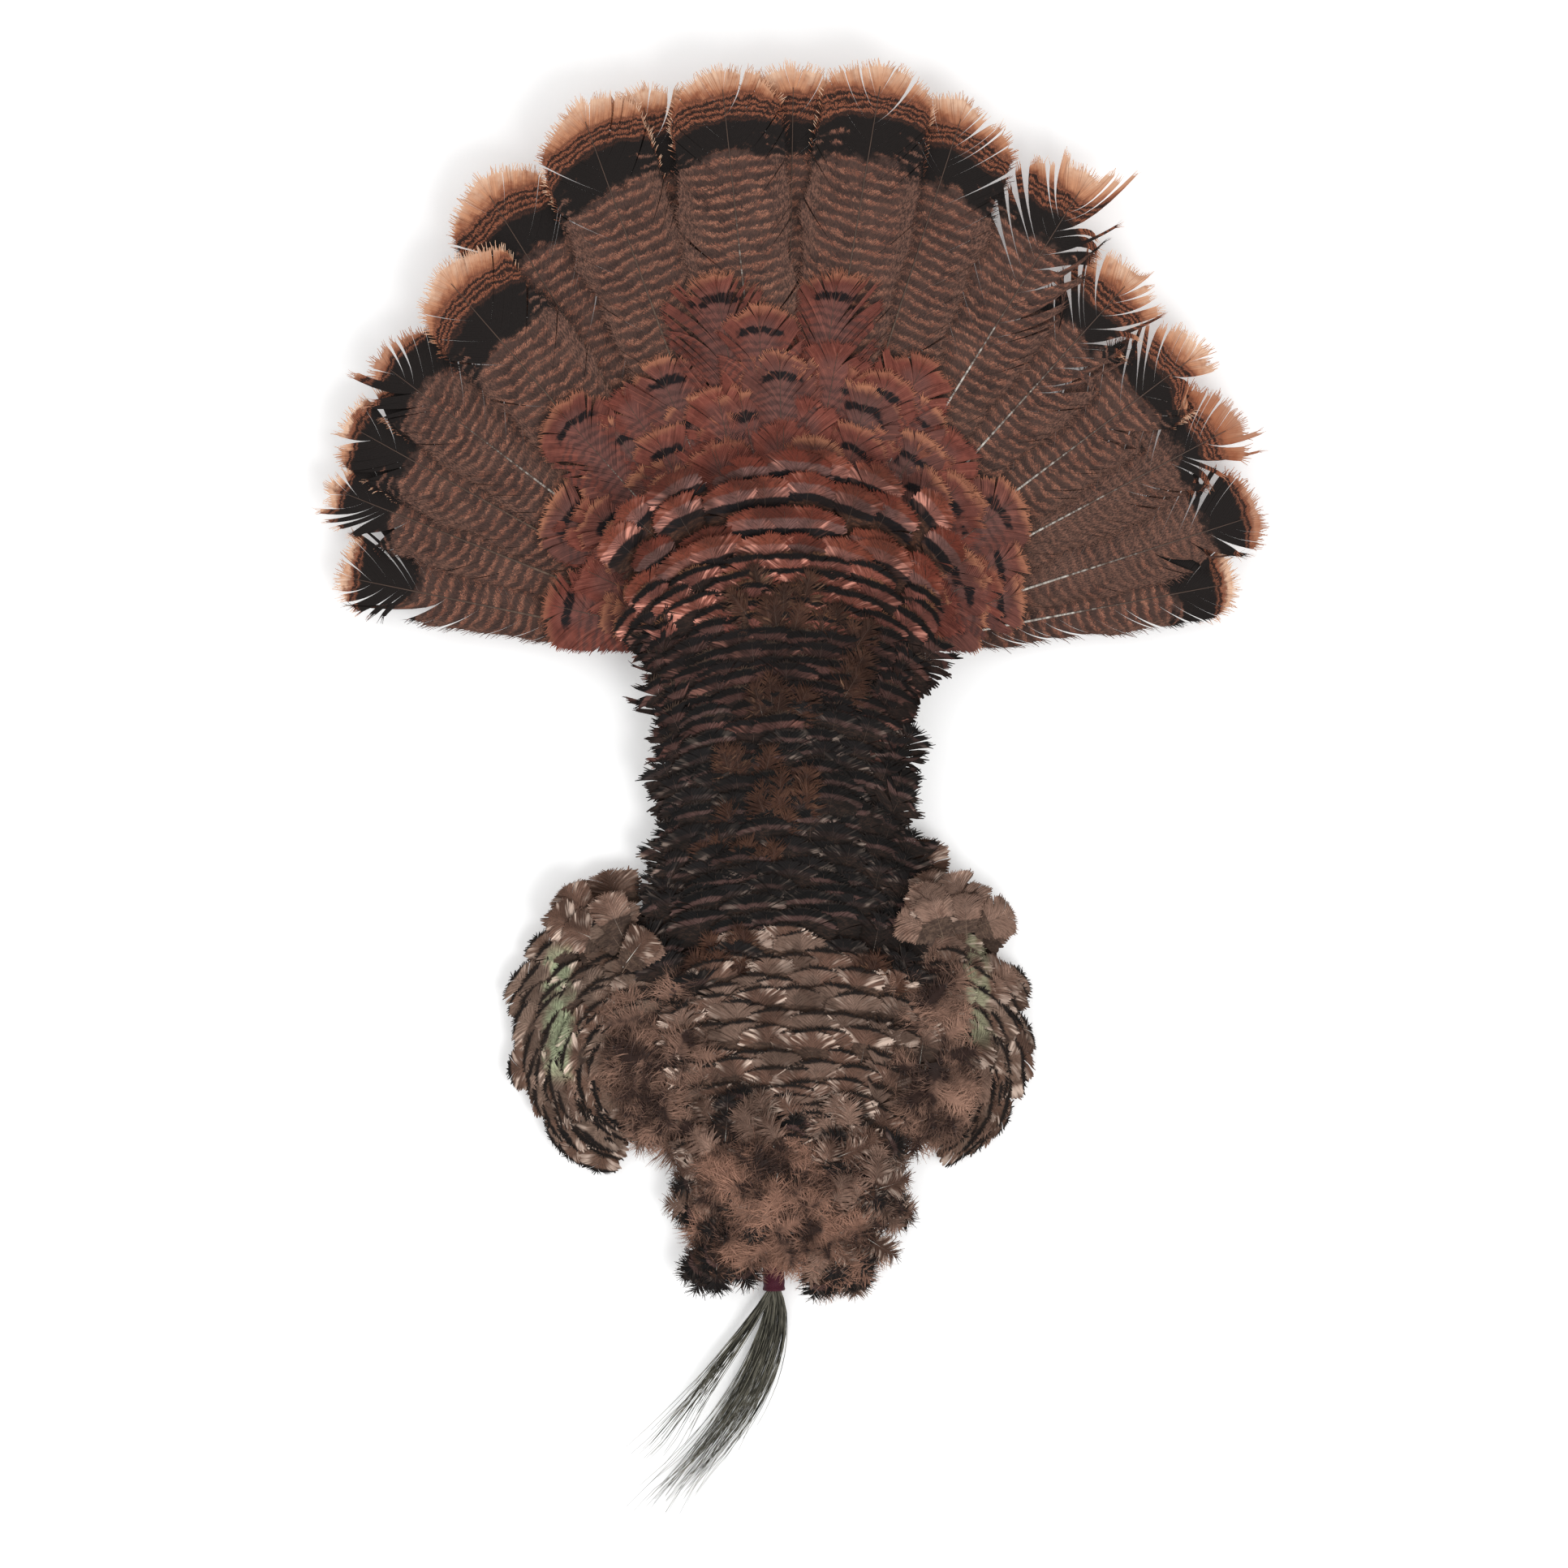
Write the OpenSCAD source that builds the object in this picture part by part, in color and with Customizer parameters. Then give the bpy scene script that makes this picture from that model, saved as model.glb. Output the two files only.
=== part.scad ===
// Turkey tail fan with the feathered back skin, two shoulder patches and the beard.
// It lies on its back face. The tail points to +Y, the neck to -Y and the feathered side to +Z.
// The origin is the hub where the tail quills meet, at the mouth of the hanger hole.
// All sizes are in millimetres.

/* [Tail fan] */
// Distance from the hub to the tip of a middle tail feather
fan_reach = 437; // [400:1:450]
// Rise of every tail feather and tail covert towards its tip, in degrees
fan_rise = 2.5; // [1.5:0.1:3]
// Height of the plane of the lowest tail feather at the hub
lowest_layer = 7.2; // [6:0.1:8]
// Height between two neighbouring layers of tail feathers
layer_step = 1.2; // [1.2:0.05:1.3]
// Width of a middle tail feather's vane, each side of its shaft
vane_side = 40; // [34:1:42]

/* [Tail base] */
// Radius of the front of the filler that holds the quills
base_r = 66; // [66:0.5:68]
// Height of the filler under the rump
base_h = 29.5; // [29:0.5:32]
// Length of the filler's slope down towards the neck
base_slope_len = 190; // [180:1:200]
// Radius of the hole for a hanger screw
hanger_r = 2.5; // [2:0.1:3]
// Depth of the hole for a hanger screw
hanger_len = 14; // [8:1:20]

/* [Skin and feathers] */
// Thickness of the dried skin
skin_t = 2.5; // [2:0.1:3]
// Thickness of a feather's vane
vane_t = 0.6; // [0.4:0.05:0.6]
// Rise of a body feather from its root to its tip, in degrees
body_rise = 14; // [14:0.5:17]
// Distance along the back from one feather row to the next
row_pitch = 26; // [25:0.5:26]

/* [Beard] */
// Outer radius of the sleeve round the root of the beard
sleeve_r = 8.4; // [8:0.1:8.6]
// Length of the round part of the sleeve
sleeve_len = 28; // [24:1:30]
// Reach of the longest bristles past the sleeve
bristle_len = 162; // [120:1:170]

/* [Hidden] */
$fn = 48;
FEATHER_STEPS = 8;
BODY_STEPS = 5;
CLEAR = 0.1;
GAP = 0.05;

// Each tail feather: direction in degrees, reach as a share of fan_reach, layer from the back.
// The bird's right side comes first. The fan dried unevenly, so the directions aren't regular.
TAIL_PLAN = [
    [10.5, 0.77, 0], [17.7, 0.84, 1], [28, 0.87, 2], [37, 0.885, 3], [48, 0.885, 4], [58, 0.97, 5],
    [72, 0.995, 6], [80.5, 1.015, 8], [89, 1, 7], [96, 1, 9], [104, 0.995, 6], [110, 1, 8],
    [122, 0.96, 5], [131, 0.875, 7], [143, 0.855, 4], [151, 0.84, 3], [158.5, 0.82, 2], [168.5, 0.76, 1],
];
QUILL_R = 1.6;
QUILL_START = 34;
QUILL_END = base_r;
VANE_START = base_r + 2;
RIB_T = 1.1;
RIB_W = 3;

// Each ring of tail coverts: number of feathers, first and last direction, reach beside the tail,
// added reach in the middle, and widest vane. The first ring is the two long middle coverts.
COVERT_PLAN = [
    [2, 82, 100, 290, 0, 46],
    [10, 18, 162, 148, 97, 44],
    [9, 26, 154, 134, 76, 40],
    [9, 22, 158, 116, 58, 34],
];
COVERT_NAMES = ["tail_coverts_long", "tail_coverts_outer", "tail_coverts_middle", "tail_coverts_inner"];
COVERT_QUILL_R = 0.65;
COVERT_QUILL_START = 52;
COVERT_BASE = 19.8;
COVERT_STEP = 1.5;

// Rows of feathers on the back, counted from the tail towards the neck.
BODY_ROOT = 0.4;
RUMP_ROWS = 5;
BACK_ROWS = 6;
MANTLE_ROWS = 7;
FIRST_ROOT_Y = 56;
// How far the outer feathers of the first row stand back from its middle one.
ROW_SAG = 12;

// Each shoulder patch: centre of its feather fan, first and last direction, first and last reach,
// and the centre and half sizes of its skin.
LEFT_SHOULDER = [[-104, -305], 100, 231, 165, 75, [-122, -262], [54, 86]];
RIGHT_SHOULDER = [[100, -315], 80, -45, 180, 58, [116, -252], [46, 94]];
SHOULDER_ROWS = 3;

// Place of the stitch that holds the beard, and the round socket of the skin's tongue there.
STITCH = [-7, -421];
STITCH_R = 1.25;
TONGUE_R = 9;
SLEEVE_START = 10.5;
SLEEVE_Z = sleeve_r + 0.2;

function two_digits(n) = n < 10 ? str("0", n) : str(n);
function mix(a, b, t) = a + (b - a) * t;

// Half width of a vane at share s of its length: it opens from the root and ends in a broad round tip.
function vane_half(s, half, root_share, full_at, round_at) =
    half * min(1, root_share + (1 - root_share) * pow(s / full_at, 0.7))
    * (s > round_at ? sqrt(max(0, 1 - pow((s - round_at) / (1 - round_at), 2))) : 1);

// Outline of a vane along +Y, with more points near the tip.
function vane_outline(length, left, right, root_share, full_at, round_at, steps) = concat(
    [for (i = [0:steps]) let (s = sin(90 * i / steps))
        [vane_half(s, right, root_share, full_at, round_at), length * s]],
    [for (i = [steps - 1:-1:0]) let (s = sin(90 * i / steps))
        [-vane_half(s, left, root_share, full_at, round_at), length * s]]
);

// Puts a feather that points along +Y at a root, turned to a direction and raised at its tip.
module laid(root, direction, rise) {
    translate(root) rotate([0, 0, direction - 90]) rotate([rise, 0, 0]) children();
}

// Where one tail feather lies: its plane starts over the hub.
module in_fan(direction, height) {
    laid([0, 0, height], direction, fan_rise) children();
}

function layer_height(layer) = lowest_layer + layer_step * layer;

module quill(radius, start, end) {
    translate([0, start, 0]) rotate([-90, 0, 0]) cylinder(r = radius, h = end - start);
}

// A tail feather: bare quill, tapered shaft and a vane that is narrower on its outer side.
module tail_feather(i) {
    plan = TAIL_PLAN[i];
    length = fan_reach * plan[1] - VANE_START;
    side = abs(plan[0] - 90) / 80;
    outer = vane_side * (1 - 0.45 * side * side);
    inner = vane_side + 2 * side;
    left = plan[0] < 90 ? inner : outer;
    right = plan[0] < 90 ? outer : inner;
    color([0.27, 0.18, 0.13]) in_fan(plan[0], layer_height(plan[2])) {
        quill(QUILL_R, QUILL_START, QUILL_END);
        translate([0, QUILL_END, -RIB_T / 2]) linear_extrude(RIB_T) polygon([
            [-RIB_W / 2, 0], [RIB_W / 2, 0], [0.5, VANE_START - QUILL_END + length * 0.96],
            [-0.5, VANE_START - QUILL_END + length * 0.96],
        ]);
        translate([0, VANE_START, -vane_t / 2]) linear_extrude(vane_t)
            polygon(vane_outline(length, left, right, 0.06, 0.75, 0.86, FEATHER_STEPS));
    }
}

function covert_direction(ring, i) =
    let (plan = COVERT_PLAN[ring]) plan[1] + (plan[2] - plan[1]) * i / (plan[0] - 1);
function covert_reach(ring, direction) =
    let (plan = COVERT_PLAN[ring]) plan[3] + plan[4] * sin(direction);

// A ring of tail coverts, each with a thin quill in the base.
module coverts(ring) {
    plan = COVERT_PLAN[ring];
    color([0.45, 0.2, 0.15]) for (i = [0:plan[0] - 1]) {
        direction = covert_direction(ring, i);
        length = covert_reach(ring, direction) - VANE_START;
        room = 2 * tan((plan[2] - plan[1]) / (plan[0] - 1) / 2) * (VANE_START + 0.75 * length) - 1;
        half = min(plan[5], room) / 2;
        in_fan(direction, COVERT_BASE + COVERT_STEP * ring) {
            quill(COVERT_QUILL_R, COVERT_QUILL_START, VANE_START + 1);
            translate([0, VANE_START, -vane_t / 2]) linear_extrude(vane_t)
                polygon(vane_outline(length, half, half, 0.15, 0.8, 0.86, BODY_STEPS));
        }
    }
}

// Height of the top of the filler along the back, and half of its width.
function base_top(y) = base_h * min(1, max(0, (y + base_slope_len) / base_slope_len));
function base_half(y) = mix(base_r, 78, min(1, max(0, -y / base_slope_len)));

// A solid whose side view is given by [y, z] points and whose plan is the child.
module shaped(side_points) {
    half_width = 100;
    top = 60;
    intersection() {
        linear_extrude(top) children();
        translate([-half_width, 0, 0]) rotate([90, 0, 90])
            linear_extrude(2 * half_width) polygon(side_points);
    }
}

// The filler in the tail base, with a hole for each quill and one for a hanger screw.
module tail_base() {
    back = -base_slope_len + 8;
    color([0.75, 0.66, 0.52]) difference() {
        shaped([[back, 0], [base_r, 0], [base_r, base_h], [0, base_h], [back, base_top(back)]])
            union() {
                circle(r = base_r);
                polygon([[-base_r, 0], [base_r, 0], [base_half(back), back], [-base_half(back), back]]);
            }
        for (plan = TAIL_PLAN) in_fan(plan[0], layer_height(plan[2]))
            quill(QUILL_R + CLEAR, QUILL_START - CLEAR, base_r + 5);
        for (ring = [0:len(COVERT_PLAN) - 1]) for (i = [0:COVERT_PLAN[ring][0] - 1])
            in_fan(covert_direction(ring, i), COVERT_BASE + COVERT_STEP * ring)
                quill(COVERT_QUILL_R + CLEAR, COVERT_QUILL_START - CLEAR, base_r + 5);
        translate([0, 0, -1]) cylinder(r = hanger_r, h = hanger_len + 1);
    }
}

// Right-hand edge of the back skin from the tail to the neck, and its notch for the beard.
SKIN_RIGHT = [[64, 0], [77, -base_slope_len], [80, -230], [80, -330], [72, -380], [60, -425], [44, -457],
    [22, -452], [19, -404], [2, -402]];
SKIN_LEFT = [[-16, -402], [-33, -404], [-35, -441], [-60, -441], [-70, -390], [-80, -330], [-80, -230],
    [-77, -base_slope_len], [-64, 0]];

module skin_plan() {
    circle(r = 64);
    polygon(concat(SKIN_RIGHT, SKIN_LEFT));
    translate(STITCH) circle(r = TONGUE_R);
    translate([STITCH[0] - TONGUE_R, STITCH[1]]) square([2 * TONGUE_R, 30]);
}

// The dried skin of the back: flat from the neck to the middle back, then up over the filler.
module cape_skin() {
    color([0.8, 0.7, 0.55]) difference() {
        shaped([
            [-470, 0], [-base_slope_len, 0], [0, base_h], [64, base_h], [64, base_h + skin_t],
            [0, base_h + skin_t], [-base_slope_len, skin_t], [-470, skin_t],
        ]) skin_plan();
        translate([STITCH[0], STITCH[1], -1]) cylinder(r = STITCH_R + GAP, h = skin_t + 2);
    }
}

// Shape of row k: where it starts along the back, the half span of its roots, how far its outer
// feathers turn outwards, and the length and width of its feathers.
function row_y(k) = FIRST_ROOT_Y - row_pitch * k;
function row_span(k) = lookup(k, [[0, 56], [4, 60], [8, 66], [12, 68], [15, 62], [17, 52]]);
function row_turn(k) = lookup(k, [[0, 38], [4, 26], [8, 12], [17, 6]]);
function row_length(k) = lookup(k, [[0, 86], [4, 76], [9, 70], [17, 56]]);
function row_width(k) = lookup(k, [[0, 26], [4, 24], [9, 22], [15, 20], [17, 17]]);
function row_colour(k) = k < RUMP_ROWS ? [0.42, 0.2, 0.16]
    : (k < RUMP_ROWS + BACK_ROWS ? [0.1, 0.08, 0.08] : [0.36, 0.28, 0.22]);

// One row of body feathers. Odd rows have one feather less and stand between the even ones.
module body_row(k) {
    count = k % 2 == 0 ? 7 : 6;
    step = 2 * row_span(k) / 6;
    color(row_colour(k)) for (i = [0:count - 1]) {
        x = (i - (count - 1) / 2) * step;
        share = x / row_span(k);
        y = row_y(k) - ROW_SAG * share * share * row_turn(k) / row_turn(0);
        root_half = BODY_ROOT * row_width(k) / 2;
        slope_lift = root_half * abs(sin(row_turn(k) * share)) * base_h / base_slope_len;
        laid([x, y, base_top(y) + skin_t + GAP + slope_lift], 90 - row_turn(k) * share, body_rise)
            linear_extrude(vane_t) polygon(vane_outline(row_length(k), row_width(k) / 2,
                row_width(k) / 2, BODY_ROOT, 0.7, 0.8, BODY_STEPS));
    }
}

function oval(centre, half) =
    [for (a = [0:12:348]) [centre[0] + half[0] * cos(a), centre[1] + half[1] * sin(a)]];

module shoulder_skin(plan) {
    color([0.8, 0.7, 0.55]) linear_extrude(skin_t) difference() {
        polygon(oval(plan[5], plan[6]));
        skin_plan();
    }
}

// One row of a shoulder patch: a fan round the patch's centre that gets shorter as it turns down.
module shoulder_row(plan, row) {
    count = row % 2 == 0 ? 7 : 6;
    turn = (plan[2] - plan[1]) / 6;
    first = plan[1] + (row % 2 == 0 ? 0 : turn / 2);
    color([0.34, 0.27, 0.21]) for (i = [0:count - 1]) {
        direction = first + turn * i;
        reach = mix(plan[4], plan[3], pow(1 - (direction - plan[1]) / (plan[2] - plan[1]), 1.6));
        root = reach * (0.68 - 0.2 * row);
        length = 18 + 0.22 * reach;
        half = min(17, (root + 0.6 * length) * tan(abs(turn) / 2) - 0.5);
        laid([plan[0][0] + root * cos(direction), plan[0][1] + root * sin(direction), skin_t + GAP],
            direction, body_rise)
            linear_extrude(vane_t) polygon(vane_outline(length, half, half, 0.35, 0.7, 0.8, BODY_STEPS));
    }
}

// A tuft of down: a low block of the tuft's outline and height, on the skin.
module down_tuft(points, low, high) {
    color([0.3, 0.21, 0.15]) translate([0, 0, low]) linear_extrude(high - low) polygon(points);
}

module neck_down_left() {
    down_tuft([[-66, -396], [-36, -396], [-37, -438], [-58, -438]], skin_t, 15);
}

module neck_down_middle() {
    down_tuft([[-32, -390], [18, -390], [17, -401], [2, -410], [-16, -410], [-31, -401]], skin_t, 16);
}

module neck_down_right() {
    down_tuft([[21, -394], [58, -394], [57, -425], [42, -454], [24, -449]], skin_t, 15);
}

// The waxed stitch with its knot, which holds the beard to the skin and lets it turn.
module beard_stitch() {
    color([0.7, 0.65, 0.5]) translate([STITCH[0], STITCH[1], 0.1]) {
        cylinder(r = STITCH_R, h = skin_t + 2.6);
        translate([0, 0, skin_t + 2.4]) cylinder(r1 = 2.4, r2 = 1.6, h = 1.6);
    }
}

// The sleeve: a tube round the root of the beard, pressed flat where it is stitched to the skin.
module beard_sleeve() {
    bore_r = sleeve_r - 1.4;
    bottom_t = 3;
    tab_z = skin_t + GAP;
    tab_t = 2.2;
    tab_half = 8;
    color([0.3, 0.14, 0.17]) translate([STITCH[0], STITCH[1], 0]) difference() {
        union() {
            translate([0, 0, tab_z]) cylinder(r = tab_half, h = tab_t);
            translate([-tab_half, -SLEEVE_START - 1, tab_z])
                cube([2 * tab_half, SLEEVE_START + 1, tab_t]);
            translate([0, -SLEEVE_START, SLEEVE_Z]) rotate([90, 0, 0]) cylinder(r = sleeve_r, h = sleeve_len);
        }
        translate([0, -SLEEVE_START - bottom_t, SLEEVE_Z]) rotate([90, 0, 0])
            cylinder(r = bore_r, h = sleeve_len);
        translate([0, 0, -1]) cylinder(r = STITCH_R + GAP + 0.02, h = skin_t + tab_t + 3);
    }
}

// The dried button of skin that the bristles grow from, inside the sleeve.
module beard_root() {
    color([0.5, 0.35, 0.26]) translate([STITCH[0], STITCH[1] - SLEEVE_START - 3.2, SLEEVE_Z])
        rotate([90, 0, 0]) cylinder(r = sleeve_r - 1.5, h = sleeve_len - 3.4);
}

// Outline of a lock of bristles: it leaves the sleeve's mouth and bends to the bird's left.
function lock_spine(t, reach, bend) = [-reach * bend * pow(t, 1.4), -reach * t];
function lock_outline(reach, bend, half) = concat(
    [for (t = [0:0.125:1]) lock_spine(t, reach, bend) + [lock_half(t, half), 0]],
    [for (t = [1:-0.125:0]) lock_spine(t, reach, bend) - [lock_half(t, half), 0]]
);
function lock_half(t, half) = half * (0.5 + 2 * t * (1 - t)) * (1 - 0.4 * t);

module beard_lock(reach, bend, half, low, high) {
    color([0.16, 0.15, 0.13])
        translate([STITCH[0], STITCH[1] - SLEEVE_START - sleeve_len - GAP, low])
            linear_extrude(high - low) polygon(lock_outline(reach, bend, half));
}

module beard_bristles_main() {
    beard_lock(bristle_len * 0.9, 0.46, 11, 2, 8);
}

module beard_bristles_side() {
    beard_lock(bristle_len * 0.69, 0.68, 5, 8.2, 12);
}

tail_base();
for (i = [0:len(TAIL_PLAN) - 1])
    tail_feather(i);
for (ring = [0:len(COVERT_PLAN) - 1])
    coverts(ring);
for (k = [0:RUMP_ROWS - 1])
    body_row(k);
for (k = [0:BACK_ROWS - 1])
    body_row(RUMP_ROWS + k);
for (k = [0:MANTLE_ROWS - 1])
    body_row(RUMP_ROWS + BACK_ROWS + k);
cape_skin();
shoulder_skin(LEFT_SHOULDER);  // left_shoulder_skin
shoulder_skin(RIGHT_SHOULDER);  // right_shoulder_skin
for (row = [0:SHOULDER_ROWS - 1]) {
    shoulder_row(LEFT_SHOULDER, row);
    shoulder_row(RIGHT_SHOULDER, row);
}
neck_down_left();
neck_down_middle();
neck_down_right();
beard_stitch();
beard_sleeve();
beard_root();
beard_bristles_main();
beard_bristles_side();
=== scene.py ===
"""A wild turkey's spread tail with its dried cape, shoulder patches and beard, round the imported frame.

Every feather is built barb by barb on the place of its CAD plate. The CAD rows say where feathers
stand, how they point and how long they are; this script gives them vanes, shafts, down and colour.
"""
import math

import bpy
import numpy as np
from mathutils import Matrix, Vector
from mathutils.geometry import delaunay_2d_cdt


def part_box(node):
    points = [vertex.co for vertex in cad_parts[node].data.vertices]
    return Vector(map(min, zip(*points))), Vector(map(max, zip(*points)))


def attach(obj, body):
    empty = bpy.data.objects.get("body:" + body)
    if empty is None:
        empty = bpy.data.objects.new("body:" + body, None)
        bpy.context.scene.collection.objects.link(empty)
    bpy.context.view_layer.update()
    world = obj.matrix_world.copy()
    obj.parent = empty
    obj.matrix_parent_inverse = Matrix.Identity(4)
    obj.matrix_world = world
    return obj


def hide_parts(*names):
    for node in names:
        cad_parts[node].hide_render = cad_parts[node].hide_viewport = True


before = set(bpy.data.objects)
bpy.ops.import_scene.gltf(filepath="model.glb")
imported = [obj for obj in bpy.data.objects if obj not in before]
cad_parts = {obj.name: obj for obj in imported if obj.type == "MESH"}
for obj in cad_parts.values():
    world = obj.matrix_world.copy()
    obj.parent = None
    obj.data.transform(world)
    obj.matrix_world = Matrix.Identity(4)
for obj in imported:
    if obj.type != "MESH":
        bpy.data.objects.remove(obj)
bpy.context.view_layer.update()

MM = 0.001
UP = np.array([0.0, 0.0, 1.0])
SHAFT_END = 0.96
FLOOR = 0.6 * MM


# ---------------------------------------------------------------- places of the feathers

def joined(mesh):
    """The points of a CAD mesh, with equal ones made one, and which of them each old point became."""
    points = np.empty(len(mesh.vertices) * 3)
    mesh.vertices.foreach_get("co", points)
    points = points.reshape(-1, 3)
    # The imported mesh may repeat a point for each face.
    _, first, group = np.unique(np.round(points, 6), axis=0, return_index=True, return_inverse=True)
    return points[first], group.ravel()


def islands(node):
    """The separate solids of a CAD node, each as an array of its points."""
    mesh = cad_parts[node].data
    points, group = joined(mesh)
    label = np.arange(len(points))
    edges = np.empty(len(mesh.edges) * 2, int)
    mesh.edges.foreach_get("vertices", edges)
    edges = group[edges].reshape(-1, 2)
    changed = True
    while changed:
        low = label[edges].min(axis=1)
        before = label.copy()
        np.minimum.at(label, edges[:, 0], low)
        np.minimum.at(label, edges[:, 1], low)
        label = label[label]
        changed = not np.array_equal(before, label)
    return [points[label == k] for k in np.unique(label)]


class Place:
    """Where one feather stands: its root, its length, and the directions across, along and above it."""

    def __init__(self, root, tip, roll=0.0):
        self.root = np.asarray(root, float)
        along = np.asarray(tip, float) - self.root
        self.length = float(np.linalg.norm(along))
        self.along = along / self.length
        across = np.cross(self.along, UP)
        self.across = across / np.linalg.norm(across)
        self.above = np.cross(self.across, self.along)
        self.roll = roll

    def at(self, share):
        """The point of the feather's line at a share of its length."""
        return self.root + self.along * self.length * share

    def out(self, points):
        """Points of the feather's own frame in the row frame."""
        return (self.root + points[:, :1] * self.across + points[:, 1:2] * self.along
                + points[:, 2:] * self.above)


def plate_place(points):
    """The place of a CAD plate: its tip is its highest point and its root the far end from there."""
    tip = points[points[:, 2].argmax()]
    along = tip - points.mean(axis=0)
    along /= np.linalg.norm(along)
    reach = points @ along
    root = points[reach < reach.min() + 0.3 * MM].mean(axis=0)
    return Place(root, tip)


# ---------------------------------------------------------------- feather meshes

# How every vane is drawn: points along its rim, how deep the rim waves, the share of its length past
# which a slanting tip falls away, and where along its run a barb bends.
RIM_POINTS, WAVE_DEPTH, SLANT_FROM, BEND_AT = 80, 0.035, 0.6, 0.45
# Torn clumps close up and lose length by shares in these ranges. Near the tip clumps stay open.
TORN_PULL, TORN_SHORT, TIP_OPEN = (0.25, 0.75), (-0.05, 0.15), 12
# A barb ends in a point of a share of its width, as long as its style's fringe times a factor.
POINT_WIDTH, POINT_LENGTHS = 0.4, (0.4, 1.3)
# How far a shaft rises over its vane and how much thinner it gets, as shares of its radius.
SHAFT_RISE, SHAFT_TAPER = 0.15, 0.85
# A style's own "worn" says from where to where, in shares of the length, which part of the clumps is torn
# and how far they swing. Without it nothing is worn.
NOT_WORN = (2, 2, 0, 0)


class Pile:
    """Collects quads with their two feather coordinates until they become one mesh."""

    def __init__(self):
        self.points = []
        self.quads = []
        self.plan = []
        self.barb = []
        self.slots = []
        self.count = 0

    def add(self, points, quads, plan, barb, slot):
        points[:, 2] = np.maximum(points[:, 2], FLOOR)
        self.points.append(points)
        self.quads.append(quads + self.count)
        self.plan.append(plan)
        self.barb.append(barb)
        self.slots.append(np.full(len(quads), slot))
        self.count += len(points)

    def mesh(self, name, materials, smooth=False):
        points, quads = np.concatenate(self.points), np.concatenate(self.quads)
        mesh = bpy.data.meshes.new(name)
        mesh.vertices.add(len(points))
        mesh.vertices.foreach_set("co", points.astype(np.float32).ravel())
        mesh.loops.add(quads.size)
        mesh.loops.foreach_set("vertex_index", quads.astype(np.int32).ravel())
        mesh.polygons.add(len(quads))
        mesh.polygons.foreach_set("loop_start", np.arange(0, quads.size, 4, dtype=np.int32))
        mesh.polygons.foreach_set("material_index", np.concatenate(self.slots).astype(np.int32))
        mesh.polygons.foreach_set("use_smooth", np.full(len(quads), smooth))
        for label, values in (("plan", self.plan), ("barb", self.barb)):
            made = mesh.attributes.new(label, "FLOAT_VECTOR", "POINT")
            made.data.foreach_set("vector", np.concatenate(values).astype(np.float32).ravel())
        for material in materials:
            mesh.materials.append(material)
        mesh.update(calc_edges=True)
        return mesh


def vane_half(share, half, shape):
    """Half width of a vane along its length: it opens from the root and ends in a broad blunt tip."""
    root, full_at, round_at, blunt = shape
    grown = np.minimum(1, root + (1 - root) * (share / full_at) ** 0.7)
    past = np.clip((share - round_at) / (1 - round_at), 0, 1)
    return half * grown * np.sqrt(1 - past ** blunt)


def clumps(rng, count, sizes):
    """The clump that each barb belongs to: neighbours that stay zipped together."""
    lengths = []
    while sum(lengths) < count:
        lengths.append(int(rng.integers(*sizes)))
    return np.repeat(np.arange(len(lengths)), lengths)[:count]


def barb_lines(length, half, style):
    """The lines between neighbouring barbs, from the shaft to the rim, and the rim's depth at each x."""
    count = max(10, int(length * (1 - style["bare"]) / style["spacing"]))
    share = style["bare"] + (1 - style["bare"]) * np.linspace(0, 1, count + 1) ** style["crowd"]
    start = np.stack([0 * share, share * length * SHAFT_END], 1)
    foot = 0.8 * style["bare"]
    along = foot + (1 - foot) * np.sin(np.linspace(0, math.pi / 2, RIM_POINTS))
    rim = np.stack([vane_half(along, half, style["shape"]), along * length], 1)
    for turns, phase in style.get("waves", ()):
        rim[:, 0] *= 1 + WAVE_DEPTH * np.sin(turns * along + phase) * (1 - along ** 6)
    rim[:, 1] += style["slant"] * rim[:, 0] * np.clip((along - SLANT_FROM) / (1 - SLANT_FROM), 0, 1)
    reach = np.concatenate([[0], np.cumsum(np.linalg.norm(np.diff(rim, axis=0), axis=1))])
    at = ((share - share[0]) / (1 - share[0])) ** style["sweep"] * reach[-1]
    end = np.stack([np.interp(at, reach, rim[:, 0]), np.interp(at, reach, rim[:, 1])], 1)
    span = np.linalg.norm(end - start, axis=1)[:, None]
    leave = math.radians(style["leave"]) * np.clip(2 * end[:, :1] / half, 0, 1)
    bend = start + BEND_AT * span * np.hstack([np.sin(leave), np.cos(leave)])
    t = np.asarray(style["cuts"])[None, :, None]
    lines = (1 - t) ** 2 * start[:, None] + 2 * t * (1 - t) * bend[:, None] + t * t * end[:, None]
    widest = rim[:, 0].argmax()
    crown = (rim[widest:, 0][::-1], length - rim[widest:, 1][::-1])
    return share, lines, crown


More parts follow.
